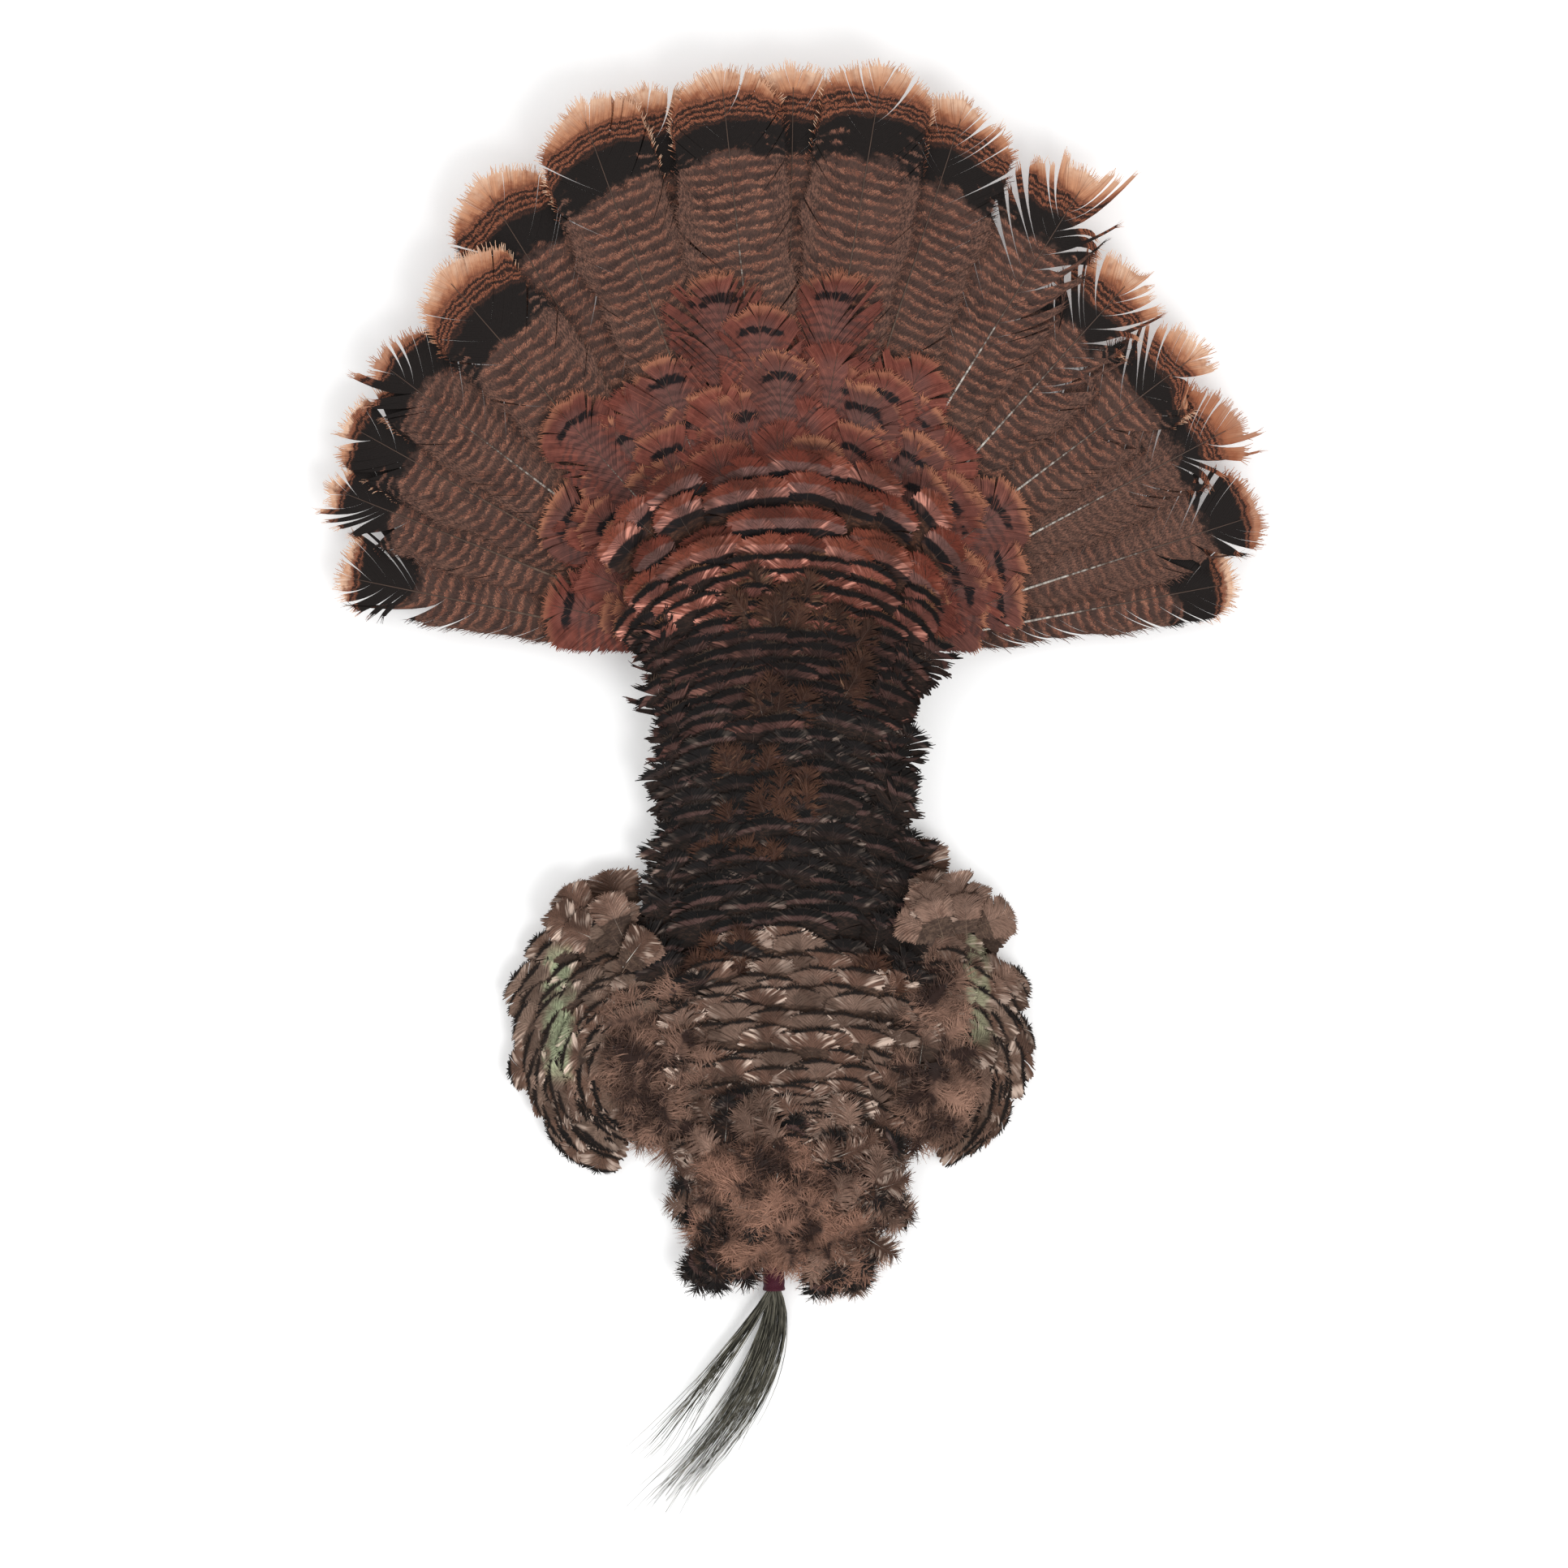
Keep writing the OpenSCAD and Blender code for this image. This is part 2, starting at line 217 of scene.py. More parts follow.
def parted(painted, share, of, half, length, style, rng):
    """Barb lines after their clumps have closed up, lost length and swung, and the lines' heights.

    share says where each line leaves the shaft, and of says which clump it belongs to.
    """
    size = np.bincount(of)
    groups = len(size)
    middle = np.zeros((groups,) + painted.shape[1:])
    np.add.at(middle, of, painted)
    middle /= size[:, None, None]
    middle_share = np.bincount(of, share) / size
    t = np.asarray(style["cuts"])[None, :, None]
    spread = t ** 2
    worn_from, worn_to, worn_part, worn_swing = style.get("worn", NOT_WORN)
    in_worn = (middle_share > worn_from) & (middle_share < worn_to)
    torn = rng.random(groups) < np.where(in_worn, worn_part, style["torn"])
    pull = rng.uniform(0, style["gap"], groups) + torn * rng.uniform(*TORN_PULL, groups)
    near_tip = np.minimum(1, (1 - share) * TIP_OPEN)
    shape = painted + (middle[of] - painted) * (pull[of] * near_tip)[:, None, None] * spread
    stretch = rng.normal(0, style["uneven"], groups) - torn * rng.uniform(*TORN_SHORT, groups)
    origin = shape[:, :1]
    shape = origin + (shape - origin) * (1 + stretch[of][:, None, None] * spread)
    swing = (rng.normal(0, style["swing"], groups) + torn * rng.normal(0, worn_swing, groups)) * length
    shape[:, :, 1] += swing[of][:, None] * spread[:, :, 0] * (shape[:, :, 0] / half)
    lift = rng.normal(0, style["lift"], groups)[of][:, None] * spread[:, :, 0]
    ripple = np.where(np.arange(len(shape)) % 2, 1, -1)[:, None] * style["ripple"]
    return shape, lift + ripple * np.minimum(1, 4 * t[:, :, 0])


def barb_ends(shape, height, painted, left, style, rng):
    """Each barb's narrow point past the last shared cut: two points, their heights, and as painted."""
    last_left, last_right = shape[left, -1], shape[left + 1, -1]
    step = (last_left + last_right - shape[left, -2] - shape[left + 1, -2]) / 2
    step += rng.normal(0, 0.25, step.shape) * np.linalg.norm(step, axis=1)[:, None]
    fringe = style["fringe"] * rng.uniform(*POINT_LENGTHS, len(left))[:, None]
    step = step / np.maximum(np.linalg.norm(step, axis=1), 1e-9)[:, None] * fringe
    ends = [last_left + (last_right - last_left) * part + step
            for part in ((1 - POINT_WIDTH) / 2, (1 + POINT_WIDTH) / 2)]
    tall = height[left, -1] + rng.normal(0, style["lift"] * 0.5, len(left))
    seen = (painted[left, -1] + painted[left + 1, -1]) / 2 + step
    return np.stack(ends, 1).reshape(-1, 2), np.repeat(tall, 2), np.repeat(seen, 2, axis=0)


def vane_side(pile, place, rng, half, side, style, seed, slot):
    """One side of a vane. Barbs run from the shaft to the rim and part between clumps."""
    length = place.length
    share, lines, crown = barb_lines(length, half, style)
    count = len(share) - 1
    group = clumps(rng, count, style["clump"])
    # A clump has one line more than it has barbs, so neighbouring clumps don't share a line.
    barb = np.arange(count)
    left = barb + group
    edge = np.empty(count + group[-1] + 1, int)
    of = np.empty(len(edge), int)
    edge[left], edge[left + 1] = barb, barb + 1
    of[left] = of[left + 1] = group
    painted = lines[edge]
    shape, height = parted(painted, share[edge], of, half, length, style, rng)
    ends, end_height, painted_ends = barb_ends(shape, height, painted, left, style, rng)

    flat = np.concatenate([shape.reshape(-1, 2), ends])
    tall = np.concatenate([height.ravel(), end_height])
    across = flat[:, 0] / half
    run = np.clip(flat[:, 1] / length, 0, 1.2)
    tall += style["bow"] * length * run * (1 - run) - style["camber"] * half * across ** 2
    tall += math.tan(place.roll) * side * flat[:, 0]
    points = place.out(np.stack([side * flat[:, 0], flat[:, 1], tall], 1))

    cuts = len(style["cuts"])
    near, far = left * cuts, (left + 1) * cuts
    quads = [np.stack([near + j, far + j, far + j + 1, near + j + 1], 1) for j in range(cuts - 1)]
    tips = len(shape) * cuts + 2 * barb
    quads.append(np.stack([near + cuts - 1, far + cuts - 1, tips + 1, tips], 1))
    quads = np.concatenate(quads)
    if side < 0:
        quads = quads[:, ::-1]

    # Colours follow the whole vane, so bands stay in line where clumps part.
    drawn = np.concatenate([painted.reshape(-1, 2), painted_ends])
    back = length - drawn[:, 1] - style["crown"] * np.interp(drawn[:, 0], *crown)
    plan = np.stack([side * drawn[:, 0], back, 0 * tall + seed], 1)
    number = np.concatenate([np.repeat(np.arange(len(shape)), cuts), np.repeat(left + 0.5, 2)])
    way = np.concatenate([np.tile(style["cuts"], len(shape)), np.ones(2 * count)])
    barbs = np.stack([number * style["spacing"], way, drawn[:, 0] / half], 1)
    pile.add(points, quads, plan, barbs, slot)


def ring_quads(rings, sides):
    """The quads between the rings of a tube."""
    i = np.arange(rings - 1)[:, None] * sides
    j = np.arange(sides)[None]
    k = (j + 1) % sides
    return np.stack([i + j, i + sides + j, i + sides + k, i + k], -1).reshape(-1, 4)


def tube(pile, path, radii, sides, slot, seed):
    """A round bar along a path of points, with a radius at each."""
    path = np.asarray(path, float)
    ahead = np.gradient(path, axis=0)
    ahead /= np.linalg.norm(ahead, axis=1)[:, None]
    across = np.cross(ahead, UP)
    across /= np.maximum(np.linalg.norm(across, axis=1), 1e-9)[:, None]
    above = np.cross(across, ahead)
    turn = np.linspace(0, 2 * math.pi, sides, endpoint=False)[None, :, None]
    ring = np.cos(turn) * across[:, None] + np.sin(turn) * above[:, None]
    points = (path[:, None] + ring * radii[:, None, None]).reshape(-1, 3)
    run = np.repeat(np.linspace(0, 1, len(path)), sides)
    plan = np.stack([0 * run, run, 0 * run + seed], 1)
    pile.add(points, ring_quads(len(path), sides), plan, plan, slot)


def feather(pile, place, rng, halves, style, shaft, slots=(0, 1)):
    """A whole feather: two vane sides and a tapered shaft. shaft is (radius, bare length, sides)."""
    seed = float(rng.random())
    for half, side, own in zip(halves, (-1, 1), style.get("sides", ({}, {}))):
        vane_side(pile, place, rng, half, side, {**style, **own}, seed, slots[0])
    radius, bare, sides = shaft
    run = np.linspace(-bare / place.length, SHAFT_END, 10 if bare else 5)
    shown = np.clip(run, 0, 1)
    height = style["bow"] * place.length * shown * (1 - shown) + SHAFT_RISE * radius
    path = place.out(np.stack([0 * run, run * place.length, height], 1))
    tube(pile, path, radius * (1 - SHAFT_TAPER * shown), sides, slots[1], seed)


# ---------------------------------------------------------------- materials

# The period of the tail's bars, and how softly a band of a body feather ends to either side.
TAIL_BAR = 0.0086
BAND_EDGE = 0.0008


class Value:
    """A value in a material's node tree, which can be reckoned with like a number."""

    def __init__(self, net, socket):
        self.net = net
        self.socket = socket

    def __add__(self, other):
        return self.net.math("ADD", self, other)

    def __sub__(self, other):
        return self.net.math("SUBTRACT", self, other)

    def __rsub__(self, other):
        return self.net.math("SUBTRACT", other, self)

    def __mul__(self, other):
        return self.net.math("MULTIPLY", self, other)

    def __abs__(self):
        return self.net.math("ABSOLUTE", self)


class Net:
    """A material's node tree, with a short call for each kind of node."""

    def __init__(self, name):
        self.material = bpy.data.materials.new(name)
        self.material.use_nodes = True
        self.tree = self.material.node_tree
        self.shader = self.tree.nodes["Principled BSDF"]

    def put(self, node, inputs):
        for key, value in inputs.items():
            if isinstance(value, Value):
                self.tree.links.new(value.socket, node.inputs[key])
            else:
                node.inputs[key].default_value = value

    def node(self, kind, inputs, **settings):
        node = self.tree.nodes.new("ShaderNode" + kind)
        for name, setting in settings.items():
            setattr(node, name, setting)
        self.put(node, inputs)
        return [Value(self, socket) for socket in node.outputs]

    def math(self, operation, *values, clamp=False):
        return self.node("Math", dict(enumerate(values)), operation=operation, use_clamp=clamp)[0]

    def split(self, vector):
        return self.node("SeparateXYZ", {0: vector})

    def attribute(self, name):
        """The three parts of a mesh attribute. Its node's outputs are colour, vector, factor, alpha."""
        return self.split(self.node("Attribute", {}, attribute_name=name)[1])

    def position(self):
        """The place in the part's frame. The node's outputs are generated, normal, UV, object and on."""
        return self.node("TexCoord", {})[3]

    def noise(self, vector, scale, detail=2.0, rough=0.5):
        return self.node("TexNoise", {"Vector": vector, "Scale": scale, "Detail": detail,
                                      "Roughness": rough})[0]

    def grain(self, u, v, w, u_scale, v_scale, detail=3.0, rough=0.75):
        """Noise over two coordinates with a scale for each, different for every w."""
        at = self.node("CombineXYZ", {0: u * u_scale, 1: v * v_scale, 2: w})[0]
        return self.noise(at, 1.0, detail, rough)

    def jitter(self, value, *noises):
        """The value moved by each (noise, amount)."""
        for noise, amount in noises:
            value = (noise - 0.5) * amount + value
        return value

    def wave(self, value, period, low, high):
        """Bars of one period: 1 in the middle of a bar, 0 between bars."""
        turns = self.math("FRACT", value * (1 / period))
        return self.step(abs(turns - 0.5), low, high)

    def step(self, value, low, high):
        """0 below low, 1 above high, smooth between. low may be above high."""
        rising = low < high
        return self.node("MapRange", {
            "Value": value, "From Min": min(low, high), "From Max": max(low, high),
            "To Min": 0.0 if rising else 1.0, "To Max": 1.0 if rising else 0.0,
        }, interpolation_type="SMOOTHSTEP")[0]

    def band(self, value, low, full_from, full_to, high):
        """1 from full_from to full_to, 0 below low and above high."""
        return self.step(value, low, full_from) * self.step(value, high, full_to)

    def mix(self, share, a, b):
        """Two colours mixed. The node keeps colours in inputs 6 and 7 and in output 2."""
        a, b = (c if isinstance(c, Value) else (*c, 1.0) for c in (a, b))
        return self.node("Mix", {0: share, 6: a, 7: b}, data_type="RGBA")[2]

    def bump(self, height, strength, distance):
        normal = self.node("Bump", {"Strength": strength, "Distance": distance, "Height": height})[0]
        self.put(self.shader, {"Normal": normal})

    def surface(self, colour, roughness, metallic=0.0, sheen=0.0):
        self.put(self.shader, {"Base Color": colour, "Roughness": roughness, "Metallic": metallic,
                               "Sheen Weight": sheen, "Specular IOR Level": 0.1})
        return self.material


def rgb(red, green, blue):
    """A colour given as on a screen, 0 to 255, in linear light by the sRGB curve."""
    values = np.array([red, green, blue]) / 255
    return tuple(np.where(values < 0.04045, values / 12.92, ((values + 0.055) / 1.055) ** 2.4))


def darker(colour, share):
    return tuple(share * part for part in colour)


def tail_vane(name, tip, mottled):
    """Dark vane with jagged chestnut bars, a black band, and a mottled and a buff tip of given depths."""
    net = Net(name)
    side, back, seed = net.attribute("plan")
    number, way, across = net.attribute("barb")
    own = seed * 40.0
    barbs = net.grain(number, way, own, 900.0, 0.0)
    grain = net.grain(number, way, own, 1100.0, 45.0)
    streak = net.grain(number, way, own, 260.0, 0.6)
    wide = net.grain(side, back, own, 45.0, 45.0)
    blotch = net.grain(side, back, own, 150.0, 330.0)
    jag = net.jitter(back, (barbs, 0.007), (grain, 0.006), (wide, 0.014), (blotch, 0.003))

    # The bars tilt and stretch from feather to feather and sag towards the rim.
    sag = net.math("POWER", across, 3.0) * net.step(back, 0.03, 0.09)
    phase = sag * 0.020 + (jag + side * (seed * 0.3 - 0.15))
    phase = phase * (seed * 0.14 + 0.93) + seed * 0.05
    bars = net.wave(phase, TAIL_BAR, 0.22, 0.36)
    bars = bars * (net.step(grain, 0.45, 0.57) * 0.8 + 0.2)
    bars = bars * (net.step(blotch, 0.40, 0.52) * 0.75 + 0.25)
    ground = net.mix(net.step(wide, 0.3, 0.7), rgb(52, 40, 37), rgb(76, 58, 52))
    worm = net.step(net.grain(number, way, own, 420.0, 38.0), 0.42, 0.62)
    ground = net.mix(worm * 0.3, ground, rgb(116, 82, 70))
    chestnut = net.mix(net.step(streak, 0.35, 0.65), rgb(134, 84, 67), rgb(172, 118, 96))
    barred = net.mix(bars, ground, chestnut)

    # They fade far from the tip, near the rim and in a few feathers.
    far = net.step(net.jitter(back, (wide, 0.1)), 0.15, 0.30) * 0.7
    rim = net.step(net.jitter(across, (wide, 0.5)), 0.6, 0.8) * 0.85
    plain = net.step(net.jitter(seed, (wide, 0.5)), 0.86, 1.0) * 0.8
    faded = net.math("MAXIMUM", net.math("MAXIMUM", far, rim), plain)
    base = net.mix(bars * 0.3 + worm * 0.7, rgb(64, 48, 43), rgb(136, 98, 83))
    body = net.mix(faded, barred, base)

    # The black band, with bars that reach into it near the rim.
    edge = tip + mottled
    deep = seed * 0.018 + net.jitter(jag, (wide, 0.02))
    black = net.step(jag, edge - 0.002, edge + 0.002) * net.step(deep, tip + 0.054, tip + 0.046)
    reaching = net.wave(phase, TAIL_BAR, 0.28, 0.42) * net.step(net.jitter(across, (wide, 1.6)), 0.6, 0.75)
    reaching = reaching * net.step(jag, tip + 0.024, tip + 0.03)
    body = net.mix(black * (1.0 - reaching), body, net.mix(grain, rgb(15, 13, 13), rgb(42, 36, 34)))

    mottle = net.band(jag, tip - 0.004, tip, edge - 0.002, edge + 0.004)
    flecks = net.wave(jag, 0.0042, 0.2, 0.34) * net.step(grain, 0.40, 0.52)
    body = net.mix(mottle, body, net.mix(flecks, rgb(46, 32, 28), rgb(152, 92, 68)))

    buff = net.mix(net.step(streak, 0.3, 0.7), rgb(160, 104, 76), rgb(206, 148, 113))
    pale = net.step(net.jitter(jag, (streak, 0.022)), 0.016, 0.0) * net.step(wide, 0.25, 0.6)
    buff = net.mix(pale, buff, rgb(232, 194, 166))
    buff = net.mix(net.step(barbs, 0.52, 0.66) * 0.5, buff, rgb(122, 72, 50))
    buff = net.mix(net.step(net.jitter(jag, (wide, 0.012)), 0.5 * tip, tip), buff, rgb(138, 80, 56))
    buff = net.mix(net.step(seed, 0.75, 0.8) * 0.6, buff, rgb(150, 88, 60))
    colour = net.mix(net.step(jag, tip + 0.001, tip - 0.005), body, buff)
    net.bump(barbs, 0.3, 0.0004)
    return net.surface(colour, 0.6)


def shaft_stuff():
    """Horn of a feather's shaft: pale at the quill and dark towards the tip."""
    net = Net("shaft")
    _, run, seed = net.attribute("plan")
    flecks = net.grain(run, seed, 0.0, 90.0, 30.0, 3.0, 0.7)
    dark = net.step(net.jitter(run, (flecks, 0.9)), 0.3, 0.75)
    pale = net.mix(net.step(seed, 0.45, 0.6), rgb(122, 102, 88), rgb(232, 226, 216))
    return net.surface(net.mix(dark, pale, rgb(88, 72, 64)), 0.4)


def covert_vane():
    """Maroon chestnut with fine dark bars, a brighter edge and in half of the feathers a black spot."""
    net = Net("covert_vane")
    side, back, seed = net.attribute("plan")
    number, way, across = net.attribute("barb")
    own = seed * 50.0
    barbs = net.grain(number, way, own, 800.0, 2.0)
    wide = net.grain(side, back, own, 45.0, 45.0)
    jag = net.jitter(back, (barbs, 0.006), (wide, 0.014))
    lines = net.wave(jag, 0.0066, 0.2, 0.36) * net.step(jag, 0.016, 0.03)
    streak = net.grain(number, way, own, 330.0, 1.0)
    colour = net.mix(net.step(wide, 0.3, 0.7), rgb(98, 51, 43), rgb(132, 72, 60))
    colour = net.mix(net.step(seed, 0.5, 0.9) * 0.6, colour, rgb(92, 66, 61))
    middle = net.step(abs(across), 0.5, 0.2) * net.step(back, 0.006, 0.016)
    colour = net.mix(middle * 0.35, colour, rgb(112, 86, 82))
    colour = net.mix(lines * 0.6, colour, rgb(66, 50, 48))
    spot = net.band(jag, 0.013, 0.015, 0.019, 0.021)
    spot = spot * net.step(abs(net.jitter(across, (wide, 0.8))), 0.55, 0.4) * net.step(seed, 0.5, 0.52)
    colour = net.mix(spot, colour, rgb(28, 24, 26))
    colour = net.mix(net.step(streak, 0.52, 0.68) * 0.4, colour, rgb(48, 26, 23))
    colour = net.mix(net.step(streak, 0.46, 0.34) * 0.4, colour, rgb(164, 100, 84))
    edge = net.step(jag, 0.007, 0.0) * net.step(net.jitter(seed, (wide, 0.8)), 0.2, 0.9)
    colour = net.mix(edge * 0.8, colour, rgb(186, 124, 94))
    net.bump(barbs, 0.4, 0.0005)
    return net.surface(colour, 0.5)


def body_vane(name, bands, ground, highlight_tint, highlight_strength, painted_sheen=None):
    """A body feather: bands from the tip inwards, each (end, colour, second colour, sheen), then ground.

    A band's two colours vary from feather to feather and along its barbs. Where sheen is high, streaks
    of barbs get a painted highlight of the given tint and strength. The last argument, where given, makes
    a share and a colour of painted green sheen that are laid over the bands.
    """
    net = Net(name)
    side, back, seed = net.attribute("plan")
    number, way, across = net.attribute("barb")
    own = seed * 60.0
    fine = net.grain(number, way, own, 800.0, 4.0, 3.0, 0.8)
    streak = net.grain(number, way, own, 300.0, 1.0, 2.0, 0.6)
    wide = net.grain(side, back, own, 70.0, 70.0, 2.0, 0.5)
    highlight_region = net.noise(net.position(), 22.0)
    shade = net.noise(net.position(), 34.0)
    jag = net.jitter(back, (fine, 0.0036), (streak, 0.002), (wide, 0.005))
    choice = net.step(net.jitter(seed, (wide, 1.4)), 0.25, 0.75)
    worm = net.step(net.grain(side, back, own, 160.0, 420.0), 0.45, 0.6)
    colour = net.mix(worm, *ground)
    sheen = 0.0
    for end, first, second, share in reversed(bands):
        inside = net.step(jag, end + BAND_EDGE, end - BAND_EDGE)
        colour = net.mix(inside, colour, net.mix(choice, first, second))
        sheen = inside * share + (1.0 - inside) * sheen
    # Painted sheen: a green iridescent shine laid over the shiny bands where it is given.
    if painted_sheen:
        share, tint = painted_sheen(net, wide)
        colour = net.mix(share * sheen, colour, tint)
    # Painted shade: dark streaks along the barbs stand for the shade in the slits between them.
    colour = net.mix(net.step(fine, 0.45, 0.62) * 0.5, colour, darker(ground[0], 0.4))
    colour = net.mix(net.step(shade, 0.54, 0.40) * 0.45, colour, darker(ground[0], 0.3))
    # Painted highlight: streaks of barbs in shiny bands, in patches set by a noise over the part, take the
    # highlight tint.
    lit = net.step(streak, 0.46, 0.68) * net.step(net.jitter(highlight_region, (seed, 0.3)), 0.38, 0.6)
    lit = lit * sheen * highlight_strength * net.step(net.jitter(across, (wide, 0.5)), 0.15, 0.45)
    colour = net.mix(lit, colour, highlight_tint)
    net.bump(fine, 0.35, 0.0005)
    return net.surface(colour, 0.6 - sheen * 0.25, sheen * 0.3)


def down_stuff(name, dark, light):
    """Soft loose barbs, lighter at their ends, in darker and lighter tufts."""
    net = Net(name)
    tufts = net.step(net.noise(net.position(), 34.0, 3.0, 0.6), 0.38, 0.60)
    seed = net.attribute("plan")[2]
    number, way, _ = net.attribute("barb")
    fine = net.grain(number, way, seed * 40.0, 900.0, 3.0, 2.0, 0.5)
    share = way * 0.35 + (seed * 0.4 - 0.1)
    share = tufts * 0.6 + (share - 0.28)
    share = net.math("ADD", share, (fine - 0.5) * 0.6, clamp=True)
    return net.surface(net.mix(share, dark, light), 0.85, sheen=0.4)


# ---------------------------------------------------------------- tail feathers

# What a style says. shape: the vane's width at its root, where it is full, where its tip begins and how
# blunt it is. bare, spacing, crowd: the shaft's bare share, the barbs' distance and how they crowd to
# one end. leave, sweep: the barbs' angle at the shaft and how they spread along the rim. cuts: shares
# of a barb. clump, gap, torn: barbs in a clump, how far clumps part and the share that is torn.
# uneven, swing, lift: how clumps differ in length, direction and height. ripple: between barbs.
# fringe: their points. bow, camber: along and across the vane. crown: how far bands follow the tip's
# curve. slant: how the rim falls to one side.
TAIL_STYLE = {
    "shape": (0.06, 0.72, 0.92, 2.6), "spacing": 0.9 * MM, "sweep": 0.85, "leave": 52, "bare": 0.0,
    "crowd": 1.0, "cuts": (0, 0.12, 0.27, 0.42, 0.57, 0.71, 0.83, 0.92), "clump": (4, 26), "gap": 0.02,
    "torn": 0.0, "uneven": 0.02, "swing": 0.004, "lift": 0.5 * MM, "ripple": 0.07 * MM,
    "fringe": 6 * MM, "bow": 0.0, "camber": 0.0, "crown": 0.6, "slant": 0.0,
}
TAIL_FEATHERS = sorted(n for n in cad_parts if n.startswith("tail_feather_"))
TAIL_BARE = 34 * MM

# Wear of the old fan: feather number and side (0 towards the left of the shaft), then where the
# vane is worn (from, to), what part of its clumps is torn and how far they swing.
WORN = {
    (17, 0): (0.72, 1.0, 0.80, 0.06), (17, 1): (0.78, 1.0, 0.7, 0.05),
    (16, 0): (0.78, 1.0, 0.75, 0.05), (16, 1): (0.80, 1.0, 0.7, 0.04),
    (15, 0): (0.80, 1.0, 0.75, 0.05), (15, 1): (0.84, 1.0, 0.6, 0.03),
    (14, 0): (0.82, 1.0, 0.65, 0.04), (14, 1): (0.86, 1.0, 0.5, 0.03),
    (6, 1): (0.82, 1.0, 0.6, 0.03), (5, 1): (0.62, 0.97, 0.9, 0.07), (5, 0): (0.74, 0.95, 0.8, 0.03),
    (4, 1): (0.66, 1.0, 0.8, 0.06), (4, 0): (0.74, 0.97, 0.7, 0.03), (3, 1): (0.66, 0.97, 0.85, 0.07),
    (3, 0): (0.76, 0.97, 0.7, 0.03), (2, 1): (0.70, 0.97, 0.8, 0.06), (2, 0): (0.76, 0.97, 0.7, 0.03),
    (1, 1): (0.72, 0.97, 0.8, 0.06), (1, 0): (0.8, 0.9, 0.6, 0.03), (0, 1): (0.1, 0.7, 0.3, 0.02),
}
# How far the rim falls towards one side of a feather: feather number and side, then the slope.
SLANTS = {(11, 0): -0.35, (11, 1): 0.1, (9, 0): -0.1, (13, 0): -0.2, (7, 0): 0.05, (6, 1): -0.2,
          (12, 0): -0.2}
# Vanes that are wider than their CAD plates by more than the usual share, which closes gaps.
WIDER = {(6, 1): 1.25, (5, 0): 1.3, (12, 0): 1.15, (13, 1): 1.15, (11, 0): 1.12}
USUAL_WIDTH = 1.06
# How much a feather's tip rises for each part that its root lies above the lowest root.
TIP_RAISE = 0.9
# The waves of a rim, the camber of a side that lies on top, and the wear of a sound and a worn side.
RIM_WAVES = (7, 13, 24, 41)
CURL = -0.09
LIGHT_WEAR = (0.93, 1.0, 0.4, 0.006)
WORN_CLUMP = (5, 16)
# The tips of the feathers numbered outside this range are worn down to the black band.
WHOLE_TIPS = range(2, 14)


def far_place(points, bare):
    """The place of a feather that points away from the hub, past its bare quill, and its half widths."""
    reach = np.hypot(points[:, 0], points[:, 1])
    tip = points[reach.argmax()]
    near = points[reach < reach.min() + 0.5 * MM].mean(axis=0)
    along = tip - near
    place = Place(near + along * (bare / np.linalg.norm(along)), tip)
    across = (points - place.root) @ place.across
    return place, (-across.min(), across.max())


def show(mesh, node, slot, body="mount"):
    """Makes a mesh the one piece that stands for a CAD node."""
    piece = bpy.data.objects.new(mesh.name, mesh)
    bpy.context.collection.objects.link(piece)
    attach(piece, body)
    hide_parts(node)


def tail_places():
    """The places and half widths of the tail feathers. The higher one lies, the more its tip is raised."""
    places = [far_place(np.concatenate(islands(node)), TAIL_BARE) for node in TAIL_FEATHERS]
    lowest = min(place.root[2] for place, _ in places)
    made = []
    for number, (place, halves) in enumerate(places):
        tip = place.at(1.0) + UP * TIP_RAISE * (place.root[2] - lowest)
        widths = [WIDER.get((number, side), USUAL_WIDTH) * half for side, half in enumerate(halves)]
        made.append((Place(place.root, tip), widths))
    return made


TAIL_PLACES = tail_places()


def tail_feathers():
    """The fan. A vane side that lies over its neighbour curls up a little at its rim."""
    whole = tail_vane("tail_vane", 0.021, 0.014)
    worn = tail_vane("tail_vane_worn", 0.009, 0.003)
    shaft = shaft_stuff()
    heights = [-1.0] + [place.root[2] for place, _ in TAIL_PLACES] + [-1.0]
    for number, node in enumerate(TAIL_FEATHERS):
        rng = np.random.default_rng(100 + number)
        place, halves = TAIL_PLACES[number]
        sides = []
        for side, neighbour in ((0, heights[number + 2]), (1, heights[number])):
            own = {"slant": SLANTS.get((number, side), 0.0), "worn": LIGHT_WEAR,
                   "waves": list(zip(RIM_WAVES, rng.uniform(0, 6.3, len(RIM_WAVES))))}
            if neighbour < heights[number + 1]:
                own["camber"] = CURL
            if (number, side) in WORN:
                own["worn"] = WORN[number, side]
                own["clump"] = WORN_CLUMP
            sides.append(own)
        pile = Pile()
        feather(pile, place, rng, halves, {**TAIL_STYLE, "sides": sides}, (1.3 * MM, TAIL_BARE, 8))
        vane = whole if number in WHOLE_TIPS else worn
        show(pile.mesh(node + ".plumage", [vane, shaft]), node, "tail_vane")


# ---------------------------------------------------------------- tail coverts

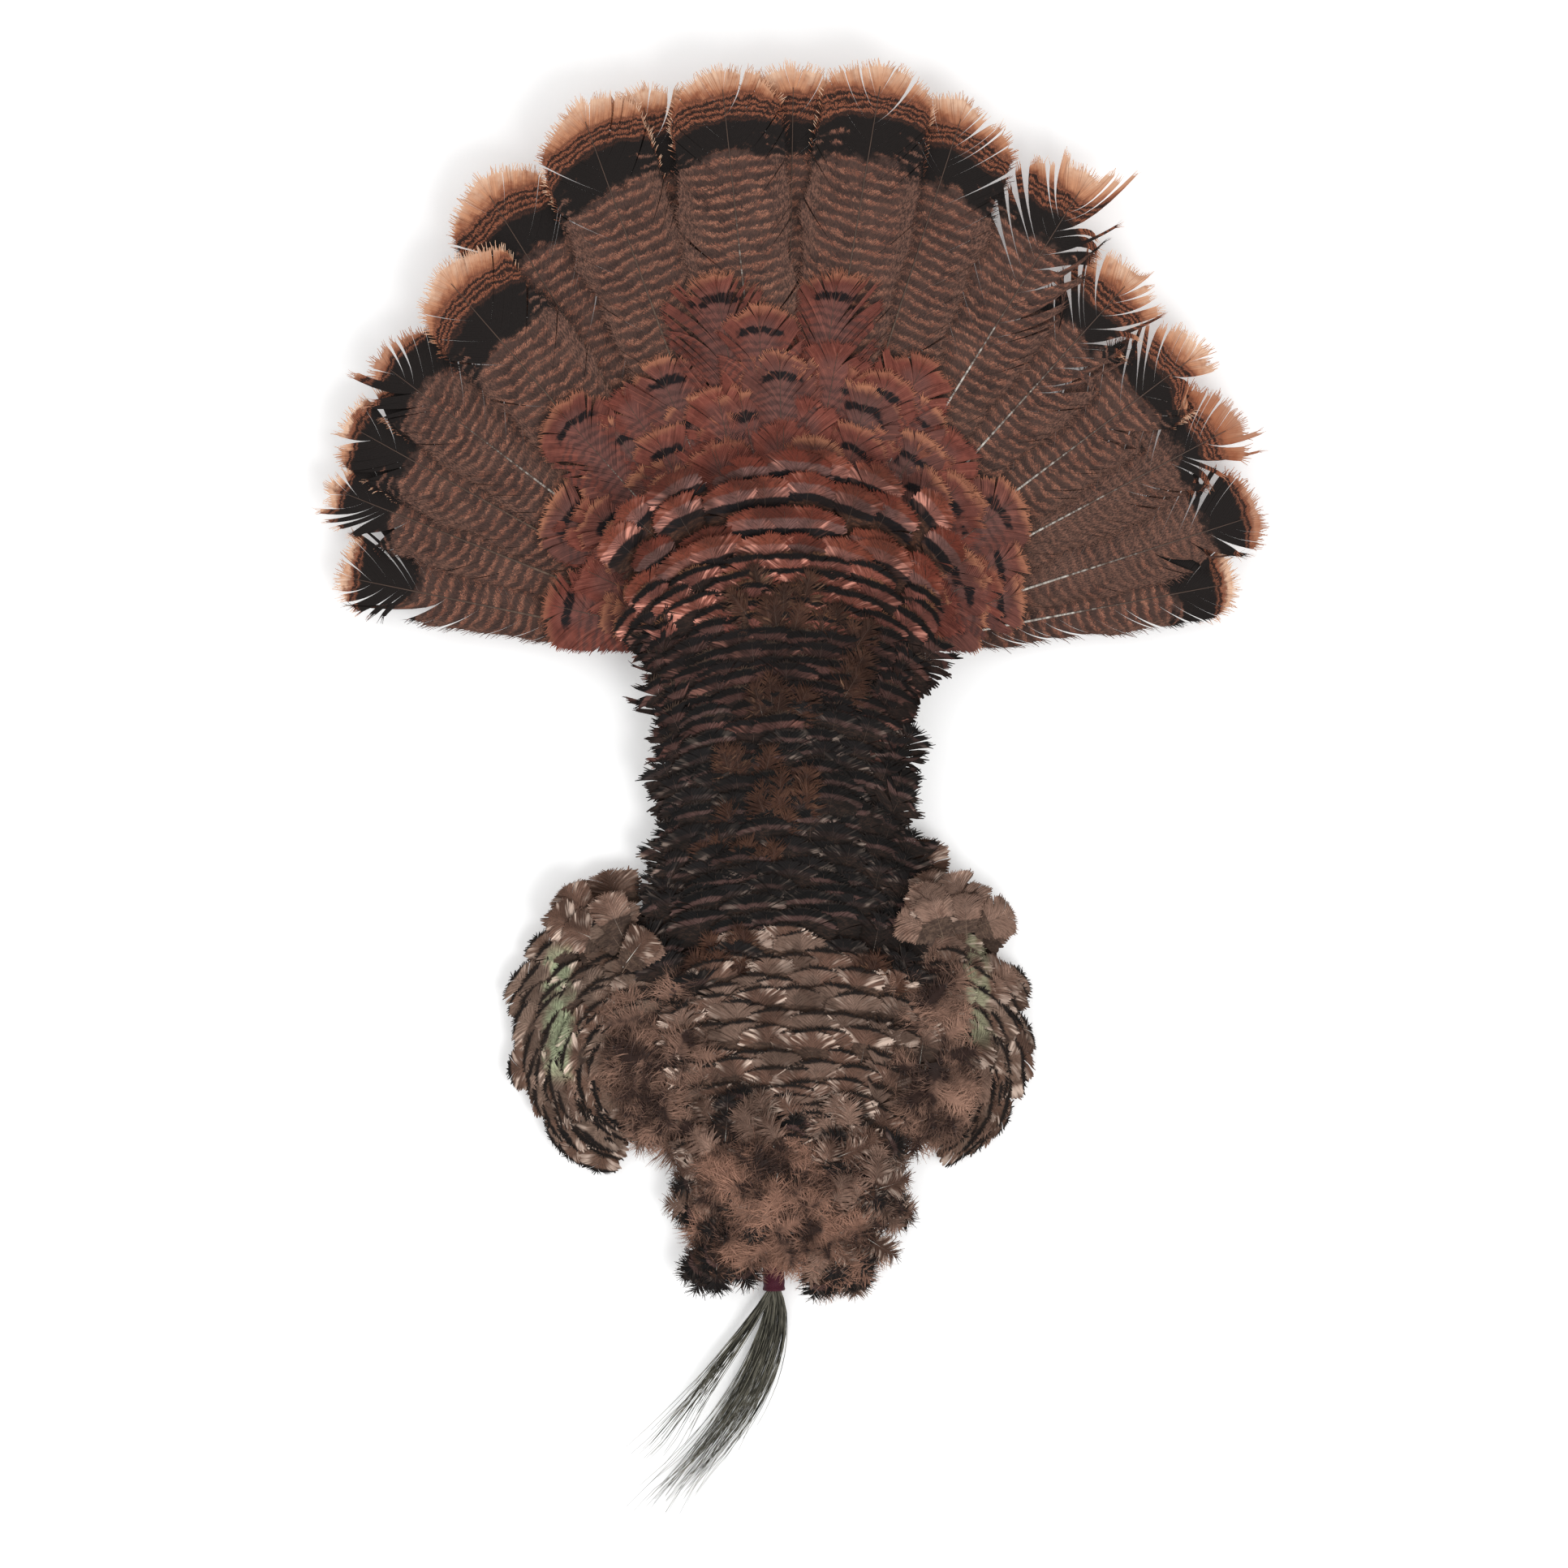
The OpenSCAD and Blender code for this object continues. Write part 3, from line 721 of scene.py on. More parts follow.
COVERT_STYLE = {
    **TAIL_STYLE, "shape": (0.25, 0.85, 0.86, 2.6), "spacing": 1.0 * MM, "leave": 30, "clump": (4, 20),
    "cuts": (0, 0.2, 0.42, 0.62, 0.8, 0.92), "sweep": 0.7, "gap": 0.14, "torn": 0.07, "uneven": 0.035,
    "swing": 0.03, "lift": 1.0 * MM, "ripple": 0.12 * MM, "fringe": 3.5 * MM, "bow": 0.02,
    "camber": 0.06, "crown": 1.0,
}
LONG_STYLE = {**COVERT_STYLE, "shape": (0.3, 0.9, 0.9, 3.0), "leave": 20, "sweep": 0.55, "gap": 0.2,
              "worn": (0.3, 0.9, 0.35, 0.02), "clump": (3, 12), "fringe": 5 * MM}
COVERT_BARE = 16 * MM
COVERTS = ("tail_coverts_long", "tail_coverts_outer", "tail_coverts_middle", "tail_coverts_inner")
LONG_HALVES = ((34 * MM, 38 * MM), (46 * MM, 34 * MM))
LONG_CLEAR = 4 * MM
# Every CAD plate of the rings carries three feathers: the turn, length and width of each. The two
# turned ones lie a little lower, and none may point further down the sheet than LOWEST_COVERT.
COVERT_FAN = ((0.0, 1.0, 1.5), (-0.13, 0.88, 1.3), (0.1, 0.92, 1.3))
LOWEST_COVERT = -0.05


def tail_top(point):
    """The height of the highest tail feather under a point."""
    heights = [0.0]
    for place, halves in TAIL_PLACES:
        run = (point - place.root) @ place.along
        aside = (point - place.root) @ place.across
        if -halves[0] < aside < halves[1] and 0 < run < place.length:
            heights.append(place.root[2] + place.along[2] * run)
    return max(heights)


def over_tail(place, clear):
    """The place with its tip raised so far that it clears the tail feathers below."""
    tip = place.at(1.0)
    tip[2] = max(tip[2], tail_top(tip) + clear, tail_top(place.at(0.6)) + clear)
    return Place(place.root, tip, place.roll)


def turned(place, angle, grow=1.0, lift=0.0, steep=1.0):
    """The place turned in plan about its root by an angle in radians, with another length or rise."""
    c, s = math.cos(angle), math.sin(angle)
    along = place.along * place.length * grow * np.array([1.0, 1.0, steep])
    along = np.array([c * along[0] - s * along[1], s * along[0] + c * along[1], along[2]])
    root = place.root + UP * lift
    return Place(root, root + along, place.roll)


def coverts():
    materials = [covert_vane(), shaft_stuff()]
    for ring, node in enumerate(COVERTS):
        rng = np.random.default_rng(200 + ring)
        pile = Pile()
        for number, solid in enumerate(sorted(islands(node), key=lambda s: -s[:, 0].mean())):
            place, halves = far_place(solid, COVERT_BARE)
            if ring == 0:
                feather(pile, over_tail(place, LONG_CLEAR), rng, LONG_HALVES[number], LONG_STYLE,
                        (0.8 * MM, COVERT_BARE, 6))
                continue
            for turn, short, share in COVERT_FAN:
                other = turned(place, turn + rng.normal(0, 0.07), short * rng.normal(1, 0.09),
                               -0.6 * MM if turn else 0.0)
                if other.along[1] < LOWEST_COVERT:
                    continue
                feather(pile, over_tail(other, (5 + ring) * MM), rng, [share * half for half in halves],
                        COVERT_STYLE, (0.8 * MM, 0 if turn else COVERT_BARE, 6))
        show(pile.mesh(node + ".plumage", materials), node, "covert_vane")


# ---------------------------------------------------------------- rows of body feathers

BODY_STYLE = {
    "shape": (0.4, 0.72, 0.84, 2.6), "spacing": 1.3 * MM, "sweep": 0.75, "leave": 38, "bare": 0.4,
    "crowd": 0.8, "cuts": (0, 0.3, 0.58, 0.82), "clump": (3, 16), "gap": 0.12, "torn": 0.08,
    "uneven": 0.035, "swing": 0.012, "lift": 0.7 * MM, "ripple": 0.08 * MM, "fringe": 2.6 * MM,
    "bow": 0.03, "camber": 0.03, "crown": 1.0, "slant": 0.0,
}
DOWN_STYLE = {
    "shape": (0.6, 0.4, 0.6, 1.6), "spacing": 0.5 * MM, "sweep": 0.85, "leave": 58, "bare": 0.0,
    "crowd": 1.0, "cuts": (0, 0.18, 0.38, 0.6, 0.8), "clump": (1, 3), "gap": 0.7, "torn": 0.6,
    "uneven": 0.3, "swing": 0.16, "lift": 2.4 * MM, "ripple": 0.0, "fringe": 7 * MM, "bow": 0.5,
    "camber": -0.15, "crown": 1.0, "slant": 0.0,
}


class Lattice:
    """Rows of CAD feathers as smooth curves, so that feathers can stand anywhere between them."""

    def __init__(self, nodes, key):
        self.nodes = nodes
        self.curves = []
        for node in nodes:
            places = sorted((plate_place(solid) for solid in islands(node)), key=key)
            ends = np.array([np.concatenate([place.root, place.at(1.0)]) for place in places])
            # An even row's outer feathers stand half a step inside an odd row's.
            reach = 1.0 if len(places) % 2 else (len(places) - 1) / len(places)
            self.curves.append(np.polyfit(np.linspace(-reach, reach, len(places)), ends, 3))

    def place(self, row, s):
        """The feather at a row number, which may lie between rows, and a share s across, -1 to 1."""
        k = min(max(int(row), 0), len(self.curves) - 2)
        curve = self.curves[k] + (row - k) * (self.curves[k + 1] - self.curves[k])
        ends = np.array([s ** 3, s ** 2, s, 1.0]) @ curve
        return Place(ends[:3], ends[3:])

    def node(self, row):
        return self.nodes[min(max(int(row), 0), len(self.nodes) - 1)]


def plumes(pile, rng, centre, radii, height, count, slot, long=(20, 34)):
    """A tuft of downy plumes that spread outwards from an oval patch. All sizes are in mm."""
    for _ in range(count):
        angle = rng.uniform(0, 2 * math.pi)
        far = math.sqrt(rng.random())
        away = far * np.array([radii[0] * math.cos(angle), radii[1] * math.sin(angle)])
        way = math.atan2(away[1], away[0]) + rng.normal(0, 0.9)
        length = rng.uniform(*long)
        z = height * (1 - 0.4 * far * far) + rng.uniform(-2, 2)
        rise = rng.uniform(-0.1, 0.35)
        root = np.array([*(centre + away), z]) * MM
        tip = root + length * MM * np.array([math.cos(way), math.sin(way), rise])
        half = rng.uniform(0.3, 0.45) * length * MM
        feather(pile, Place(root, tip), rng, (half, half), DOWN_STYLE, (0.25 * MM, 0, 3), (slot, slot))


# The CAD's rows from the tail to the neck.
BODY_ROWS = [f"{part}_feathers_{k + 1}" for part, rows in (("rump", 5), ("back", 6), ("mantle", 7))
             for k in range(rows)]
ROW_STEP = 0.38
# Visible rows, counted in CAD rows: four far apart, close rows down the back, then the mantle.
VISIBLE_ROWS = np.concatenate([[-0.6, 0.05, 0.95, 1.5], np.arange(2.0, 11.0, ROW_STEP),
                               np.arange(11.0, 17.9, 0.5)])
# How much further than the CAD rows the visible ones reach to either side: rows, then shares.
WAIST = ([3, 4, 8, 9.5, 11, 12.5], [0, -0.1, -0.1, 0, 0.09, 0])

# The bands of each kind of feather, from the tip inwards: where it ends, two colours and its sheen, which
# sets its roughness and metallic share and how much painted highlight it takes.
UPPER_RUMP = [(0.0085, rgb(106, 50, 38), rgb(126, 66, 50), 0.3),
              (0.0160, rgb(110, 78, 73), rgb(132, 84, 74), 1.0),
              (0.0225, rgb(17, 16, 19), rgb(26, 24, 26), 0.1)]
LOWER_RUMP = [(0.0009, rgb(124, 84, 60), rgb(70, 46, 36), 0.3),
              (0.0056, rgb(17, 14, 14), rgb(24, 20, 20), 0.0),
              (0.0125, rgb(122, 73, 64), rgb(136, 78, 65), 1.0)]
DARK_RUMP = [(0.0009, rgb(76, 60, 50), rgb(44, 34, 30), 0.2),
             (0.0062, rgb(17, 15, 15), rgb(26, 22, 22), 0.0),
             (0.0115, rgb(84, 57, 52), rgb(62, 42, 38), 1.0)]
BACK = [(0.0009, rgb(50, 42, 38), rgb(24, 20, 19), 0.2),
        (0.0066, rgb(15, 14, 14), rgb(28, 25, 25), 0.3),
        (0.0100, rgb(84, 62, 58), rgb(46, 36, 34), 1.0)]
PLAIN = [(0.006, rgb(86, 58, 45), rgb(68, 45, 36), 0.5),
         (0.02, rgb(74, 49, 39), rgb(56, 38, 31), 1.0)]
MANTLE = [(0.0025, rgb(24, 20, 19), rgb(20, 18, 17), 0.0),
          (0.014, rgb(118, 95, 83), rgb(104, 77, 65), 1.0)]
SHOULDER = [(0.0026, rgb(24, 20, 19), rgb(20, 18, 17), 0.0),
            (0.012, rgb(124, 102, 89), rgb(106, 80, 67), 1.0)]
SOFT = [(0.020, rgb(136, 108, 94), rgb(102, 76, 64), 1.0)]
# Tints of the painted highlights on shiny barbs.
COPPER_HIGHLIGHT, SILVER_HIGHLIGHT = rgb(240, 166, 146), rgb(214, 190, 174)
MANTLE_LOOK, PLAIN_LOOK, SHAFT_LOOK = 4, 5, 6

# Where plain brown feathers show between the back's black ones: row and share across.
PLAIN_SPOTS = [(2.4, 0.0), (3.3, 0.02), (3.0, 0.42), (4.4, 0.3), (5.4, -0.1), (6.9, -0.35), (7.6, -0.1),
               (8.0, 0.15), (8.5, -0.3), (9.2, -0.45), (9.6, -0.1), (11.9, -0.5), (12.4, -0.75),
               (12.8, -0.4), (12.6, 0.75)]
EDGE_STYLE = {"torn": 0.3, "gap": 0.3, "fringe": 4 * MM, "uneven": 0.18, "swing": 0.08, "lift": 1.6 * MM,
              "clump": (2, 9)}
PLAIN_STYLE = {**BODY_STYLE, "shape": (0.4, 0.6, 0.7, 2.0), "spacing": 0.9 * MM, "leave": 26, "bare": 0.3,
               "torn": 0.3, "gap": 0.25, "fringe": 5 * MM, "uneven": 0.12, "swing": 0.05, "clump": (1, 5),
               "bow": 0.06}
BODY_SHAFT = (0.35 * MM, 0, 4)


def row_look(row, s, rng):
    """Which material a feather of the back wears: upper rump, lower rump, dark rump, back or mantle."""
    if row > 11.7 + 1.2 * s * s + rng.normal(0, 0.25):
        return MANTLE_LOOK
    limits = (1.8, 4.0 - 0.9 * abs(s) + rng.normal(0, 0.2), 6.0 + rng.normal(0, 0.6))
    return int(np.searchsorted(limits, row))


def row_feather(pile, lattice, rng, row, s):
    """One feather of a visible row. Those of the rump lie in closer order than the others."""
    at_edge = abs(s) > 0.85
    look = row_look(row, s, rng)
    loose = 0.7 if row < 1.8 else 0.35 if row < 5 else 1.0
    place = lattice.place(row + rng.normal(0, 0.1) * loose, s)
    place.roll = 0.02 * s + rng.normal(0, 0.012) * loose
    turn = rng.normal(0, 0.07) * loose - 0.12 * s * at_edge
    place = turned(place, turn, rng.normal(1, 0.03 * loose), rng.uniform(0, 0.4) * loose * MM, 1.2)
    half = rng.uniform(24, 32) * MM * (1 - 0.25 * at_edge) * (1 - 0.1 * (look == MANTLE_LOOK))
    style = {**BODY_STYLE, "bow": 0.02 if row < 8 else 0.12}
    if row < 5:
        style.update(shape=(0.4, 0.72, 0.88, 3.2), lift=0.3 * MM)
    if at_edge and row > 3:
        style.update(EDGE_STYLE)
    feather(pile, place, rng, (half, half), style, BODY_SHAFT, (look, SHAFT_LOOK))


def plain_spot(pile, lattice, rng, row, s):
    """Four narrow brown feathers that cross each other."""
    for _ in range(4):
        place = lattice.place(row + rng.normal(0, 0.12), s + rng.normal(0, 0.07))
        place = turned(place, rng.normal(0, 0.3), rng.normal(0.98, 0.05), 1.0 * MM, 1.2)
        half = rng.uniform(11, 17) * MM
        feather(pile, place, rng, (half, half), PLAIN_STYLE, BODY_SHAFT, (PLAIN_LOOK, SHAFT_LOOK))


def body_rows():
    lattice = Lattice(BODY_ROWS, key=lambda p: p.root[0])
    # Each look's last two values are its painted highlight's tint and strength.
    looks = [
        body_vane("rump_vane_upper", UPPER_RUMP, (rgb(62, 43, 36), rgb(96, 64, 50)), COPPER_HIGHLIGHT, 0.75),
        body_vane("rump_vane_lower", LOWER_RUMP, (rgb(36, 27, 24), rgb(52, 37, 32)), COPPER_HIGHLIGHT, 0.8),
        body_vane("rump_vane_dark", DARK_RUMP, (rgb(36, 27, 24), rgb(52, 37, 32)), COPPER_HIGHLIGHT, 0.22),
        body_vane("back_vane", BACK, (rgb(34, 27, 24), rgb(54, 40, 34)), SILVER_HIGHLIGHT, 0.3),
        body_vane("mantle_vane", MANTLE, (rgb(74, 57, 48), rgb(98, 76, 64)), SILVER_HIGHLIGHT, 0.95),
        body_vane("plain_vane", PLAIN, (rgb(52, 36, 30), rgb(84, 60, 48)), rgb(150, 112, 88), 0.5),
    ]
    piles = {node: Pile() for node in BODY_ROWS}
    rng = np.random.default_rng(31)
    for number, row in enumerate(VISIBLE_ROWS):
        pile = piles[lattice.node(row)]
        count, reach = (8, 1.06) if number % 2 else (7, 0.96)
        reach += np.interp(row, *WAIST)
        for s in np.linspace(-reach, reach, count):
            row_feather(pile, lattice, rng, row, s + rng.normal(0, 0.05))
        for spot, s in PLAIN_SPOTS:
            if abs(spot - row) < ROW_STEP / 2:
                plain_spot(pile, lattice, rng, row, s)
    materials = looks + [shaft_stuff()]
    for node, pile in piles.items():
        show(pile.mesh(node + ".plumage", materials), node, node.split("_")[0] + "_vane")


# ---------------------------------------------------------------- shoulders and down

def green_painted_sheen(net, wide):
    """A painted pale green iridescent sheen down the middle of the left patch, with a spot on the right one.
    """
    # The bands' edges are places on the sheet, in m.
    x, y, _ = net.split(net.position())
    x = net.jitter(x, (wide, 0.02))
    left = net.band(x, -0.178, -0.170, -0.160, -0.153) * net.band(y, -0.31, -0.29, -0.22, -0.20)
    right = net.band(x, 0.133, 0.138, 0.148, 0.154) * net.band(y, -0.285, -0.27, -0.195, -0.185)
    patchy = net.step(net.noise(net.position(), 60.0), 0.25, 0.5)
    return net.math("ADD", right * 0.5, left, clamp=True) * patchy, rgb(164, 172, 138)


# Loose feathers: soft and open at the neck, broad and closed at the shoulders.
NECK_STYLE = {**PLAIN_STYLE, "bow": 0.2, "bare": 0.1}
BROAD_STYLE = {**BODY_STYLE, "shape": (0.3, 0.75, 0.85, 2.4), "spacing": 1.0 * MM, "bow": 0.15, "bare": 0.1,
               "leave": 30, "gap": 0.08, "torn": 0.04, "uneven": 0.03, "fringe": 2.2 * MM}


def loose_feathers(pile, rng, patches, style, long, wide, slots):
    """Feathers over patches: centre, half sizes, heading in degrees, height, number, dark share.

    Sizes are in mm. slots are those of the light vane, the dark vane and the shaft.
    """
    light, dark, shaft = slots
    for centre, radii, heading, height, count, share in patches:
        for _ in range(count):
            at = np.array(centre) + rng.uniform(-1, 1, 2) * radii
            root = np.array([*at, height - 5]) * MM
            way = math.radians(heading + rng.normal(0, 28))
            along = np.array([math.cos(way), math.sin(way), rng.uniform(0.1, 0.35)])
            along = along * rng.uniform(*long) * MM
            half = rng.uniform(*wide) * MM
            feather(pile, Place(root, root + along), rng, (half, half), style, (0.3 * MM, 0, 4),
                    (dark if rng.random() < share else light, shaft))


# Each shoulder patch: its middle and the sizes its rows are drawn to, then where its down lies, as
# centre, radii, height and number of plumes, then the loose feathers over its top end.
SHOULDERS = {
    "left": ((-0.090, -0.255), (0.93, 0.95),
             [((-90, -308), (22, 34), 15, 80), ((-96, -262), (16, 40), 12, 45)],
             [((-126, -202), (18, 12), 112, 26, 7, 0.2), ((-118, -216), (6, 10), 80, 28, 3, 0.0)]),
    "right": ((0.085, -0.250), (0.80, 0.96),
              [((106, -290), (16, 56), 14, 85)],
              [((130, -194), (18, 12), 66, 26, 7, 0.2), ((110, -200), (8, 12), 100, 28, 3, 0.0)]),
}
# Feathers whose tips lie further up the sheet than this are soft, and so is a share of the others.
SOFT_FROM, SOFT_SHARE = -0.185, 0.12
# The heading, in radians, from which a row's feathers are counted round the patch.
FIRST_HEADING = math.radians(-120)


def round_heading(place):
    return (math.atan2(place.along[1], place.along[0]) - FIRST_HEADING) % (2 * math.pi)


def shoulders():
    ground = (rgb(74, 58, 50), rgb(98, 78, 66))
    materials = [
        body_vane("shoulder_vane", SHOULDER, ground, SILVER_HIGHLIGHT, 0.9, green_painted_sheen),
        body_vane("shoulder_soft", SOFT, ground, SILVER_HIGHLIGHT, 0.7, green_painted_sheen),
        shaft_stuff(),
        down_stuff("shoulder_down", rgb(44, 28, 23), rgb(176, 136, 116)),
    ]
    style = {**BODY_STYLE, "bow": 0.12}
    for number, (side, (middle, size, patches, loose)) in enumerate(SHOULDERS.items()):
        nodes = [f"{side}_shoulder_feathers_{k}" for k in (1, 2, 3)]
        lattice = Lattice(nodes, key=round_heading)
        rng = np.random.default_rng(61 + number)
        piles = {node: Pile() for node in nodes}
        for count, row in enumerate(np.arange(0.1, 3.3, 0.52)):
            for s in np.linspace(-1.0, 1.1, 12 + count % 2):
                place = lattice.place(row + rng.normal(0, 0.07), s + rng.normal(0, 0.03))
                place.root[:2] = middle + (place.root[:2] - middle) * size
                place = turned(place, rng.normal(0, 0.14), rng.normal(0.97, 0.06), rng.uniform(0, 0.8) * MM)
                half = rng.uniform(16, 23) * MM
                soft = place.at(1.0)[1] > SOFT_FROM + rng.normal(0, 0.01) or rng.random() < SOFT_SHARE
                if soft:
                    half *= 1.2
                feather(piles[lattice.node(row)], place, rng, (half, half), style, BODY_SHAFT,
                        (int(soft), 2))
        for patch in patches:
            plumes(piles[nodes[2]], rng, *patch, 3)
        loose_feathers(piles[nodes[2]], rng, loose, BROAD_STYLE, (30, 42), (16, 21), (1, 0, 2))
        for node, pile in piles.items():
            show(pile.mesh(node + ".plumage", materials), node, "shoulder_vane")


# The neck's down: for each CAD tuft its patches, as centre, radii, height and number of plumes, then
# its loose contour feathers, as centre, half sizes, heading in degrees, height, number and dark share.
NECK = {
    "neck_down_left": ([((-36, -396), (14, 28), 13, 100), ((-44, -424), (9, 8), 12, 26)],
                       [((-42, -384), (14, 24), 215, 17, 18, 0.5), ((-46, -424), (9, 7), 250, 19, 18, 1.0)]),
    "neck_down_middle": ([((-6, -378), (38, 20), 16, 120), ((-8, -412), (14, 14), 24, 50)],
                         [((4, -352), (50, 14), 90, 20, 30, 0.35),
                          ((-10, -386), (30, 20), 250, 22, 18, 0.7)]),
    "neck_down_right": ([((38, -400), (15, 32), 14, 90), ((38, -428), (12, 12), 13, 36)],
                        [((54, -384), (16, 34), 320, 18, 24, 0.3), ((40, -426), (14, 12), 290, 20, 22, 0.6),
                         ((44, -382), (24, 26), 60, 21, 26, 0.3)]),
}
# The beard swings below the neck's down: its pin, the ends of its sweep in degrees from straight
# down the sheet, the height that clears its sleeve, and the one that clears its bristles.
BEARD_PIN = np.array([-0.007, -0.421])
SWEEP = (-58, 40)
SLEEVE_CLEAR, BRISTLES_CLEAR = 18.5 * MM, 14 * MM
# The sleeve's reach from the pin, the round zone at the pin that stays clear as well, and how steeply
# the cleared height falls beside the sweep.
SLEEVE_REACH, PIN_ZONE, CLEAR_SLOPE = 48 * MM, 14 * MM, 1.5


def clear_beard(points):
    """Lifts points over the space that the beard sweeps, with a soft slope beside it."""
    away = points[:, :2] - BEARD_PIN
    far = np.hypot(away[:, 0], away[:, 1])
    angle = np.degrees(np.arctan2(away[:, 0], -away[:, 1]))
    outside = np.maximum(0, np.maximum(SWEEP[0] - angle, angle - SWEEP[1]))
    gap = np.minimum(far, np.radians(outside) * far)
    gap = np.where(far < 20 * MM, np.maximum(0, far - PIN_ZONE) * (outside > 40), gap)
    high = np.where(far < SLEEVE_REACH, SLEEVE_CLEAR, BRISTLES_CLEAR)
    wanted = high - gap * CLEAR_SLOPE
    lifted = np.maximum(points[:, 2], wanted + 0.12 * points[:, 2])
    return np.where(wanted > 0, lifted, points[:, 2])


def neck_down():
    materials = [
        down_stuff("neck_down", rgb(42, 27, 22), rgb(184, 138, 116)),
        body_vane("neck_vane", SOFT, (rgb(60, 43, 36), rgb(90, 66, 54)), SILVER_HIGHLIGHT, 0.6),
        body_vane("neck_vane_dark", BACK, (rgb(40, 30, 26), rgb(74, 52, 42)), SILVER_HIGHLIGHT, 0.3),
        shaft_stuff(),
    ]
    for number, (node, (patches, loose)) in enumerate(NECK.items()):
        rng = np.random.default_rng(70 + number)
        pile = Pile()
        for patch in patches:
            plumes(pile, rng, *patch, 0, (18, 30))
        loose_feathers(pile, rng, loose, NECK_STYLE, (24, 36), (9, 14), (1, 2, 3))
        for points in pile.points:
            points[:, 2] = clear_beard(points)
        show(pile.mesh(node + ".plumage", materials), node, "down")


# ---------------------------------------------------------------- skin and filler

# Steps along a skin's rim and across it, and how far its under side lies above its CAD solid's.
RIM_STEP, SKIN_GRID, UNDER_GAP = 3 * MM, 5 * MM, 0.4 * MM


def outline(node):
    """The largest loop round the under side of a CAD node."""
    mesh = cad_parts[node].data
    points, group = joined(mesh)
    ahead = {}
    for polygon in mesh.polygons:
        if polygon.normal.z > -0.9:
            continue
        ring = [int(group[i]) for i in polygon.vertices]
        for a, b in zip(ring, ring[1:] + ring[:1]):
            if (b, a) in ahead:
                del ahead[b, a]
            else:
                ahead[a, b] = True
    ahead = dict(ahead.keys())
    loops = []
    while ahead:
        start, at = ahead.popitem()
        loop = [start]
        while at != start:
            loop.append(at)
            at = ahead.pop(at, start)
        loops.append(loop)
    return points[max(loops, key=len)]


def inside(points, loop):
    """Which points lie inside a closed loop: an odd number of its edges passes beside each."""
    ahead = np.roll(loop, -1, axis=0)
    spans = (loop[:, 1] > points[:, 1:]) != (ahead[:, 1] > points[:, 1:])
    rise = np.where(ahead[:, 1] == loop[:, 1], 1e-9, ahead[:, 1] - loop[:, 1])
    cross = (ahead[:, 0] - loop[:, 0]) * (points[:, 1:] - loop[:, 1]) / rise + loop[:, 0]
    return (spans & (points[:, :1] < cross)).sum(axis=1) % 2 == 1


def skin_plan(rim, rng):
    """The skin's points and faces in plan, with the ragged rim's points first, and their number."""
    steps = []
    for a, b in zip(rim, np.roll(rim, -1, axis=0)):
        count = max(1, int(np.linalg.norm(b - a) / RIM_STEP))
        steps += [a + (b - a) * k / count for k in range(count)]
    edge = np.array(steps)[:, :2]
    edge += rng.normal(0, 0.7 * MM, edge.shape)
    xs, ys = np.meshgrid(*(np.arange(rim[:, k].min(), rim[:, k].max(), SKIN_GRID) for k in (0, 1)))
    inner = np.stack([xs.ravel(), ys.ravel()], 1) + rng.normal(0, 1.0 * MM, (xs.size, 2))
    inner = inner[inside(inner, edge)]
    flat = [Vector(point) for point in np.concatenate([edge, inner])]
    loop = [(k, (k + 1) % len(edge)) for k in range(len(edge))]
    flat, _, faces, *_ = delaunay_2d_cdt(flat, loop, [], 1, 1e-6)
    return np.array([tuple(point) for point in flat]), faces, len(edge)


def hide(node, seed):
    """A dried skin with a ragged edge: dark feather side up, which is also painted shade for the gaps
    between feathers, and pale flesh side down.
    """
    rim = outline(node)
    flat, faces, edge = skin_plan(rim, np.random.default_rng(seed))
    order = np.argsort(rim[:, 1])
    bottom = np.interp(flat[:, 1], rim[order, 1], rim[order, 2])
    ripple = 0.35 * MM * (np.sin(flat[:, 0] * 260 + 2 * np.sin(flat[:, 1] * 90))
                          + np.sin(flat[:, 1] * 210 + flat[:, 0] * 70))
    thick = np.where(np.arange(len(flat)) < edge, 1.1, 2.3) * MM
    low = np.column_stack([flat, bottom + np.maximum(0.05 * MM, UNDER_GAP + ripple)])
    high = low + UP * (thick - UNDER_GAP)[:, None]
    top = [[a + len(flat) for a in face] for face in faces]
    under = [face[::-1] for face in faces]
    walls = [[k, (k + 1) % edge, (k + 1) % edge + len(flat), k + len(flat)] for k in range(edge)]
    mesh = bpy.data.meshes.new(node + ".hide")
    mesh.from_pydata(np.concatenate([low, high]).tolist(), [], top + under + walls)
    mesh.polygons.foreach_set("material_index", [0] * len(top) + [1] * (len(under) + len(walls)))
    mesh.polygons.foreach_set("use_smooth", [True] * len(mesh.polygons))
    # The feather side is dark brown for the down on it and as painted shade in the gaps between the feathers
    # above.
    mesh.materials.append(hide_stuff("feather_side", rgb(44, 34, 30), rgb(72, 54, 44)))
    mesh.materials.append(hide_stuff("flesh_side", rgb(176, 142, 104), rgb(212, 186, 148)))
    show(mesh, node, "skin")


def hide_stuff(name, dark, light):
    """Dried skin, with wrinkles, fat stains and the dots of feather roots."""
    net = Net(name)
    place = net.position()
    stains = net.noise(place, 28.0, 4.0, 0.6)
    wrinkles = net.noise(place, 260.0, 5.0, 0.7)
    roots = net.node("TexVoronoi", {"Vector": place, "Scale": 115.0})[0]
    dots = net.step(roots, 0.22, 0.12)
    colour = net.mix(net.step(stains, 0.35, 0.65), dark, light)
    colour = net.mix(dots * 0.6, colour, rgb(70, 48, 34))
    colour = net.mix(net.step(wrinkles, 0.5, 0.7) * 0.3, colour, rgb(110, 80, 54))
    net.bump(dots * 0.4 + wrinkles, 0.6, 0.0012)
    return net.surface(colour, stains * 0.4 + 0.3)


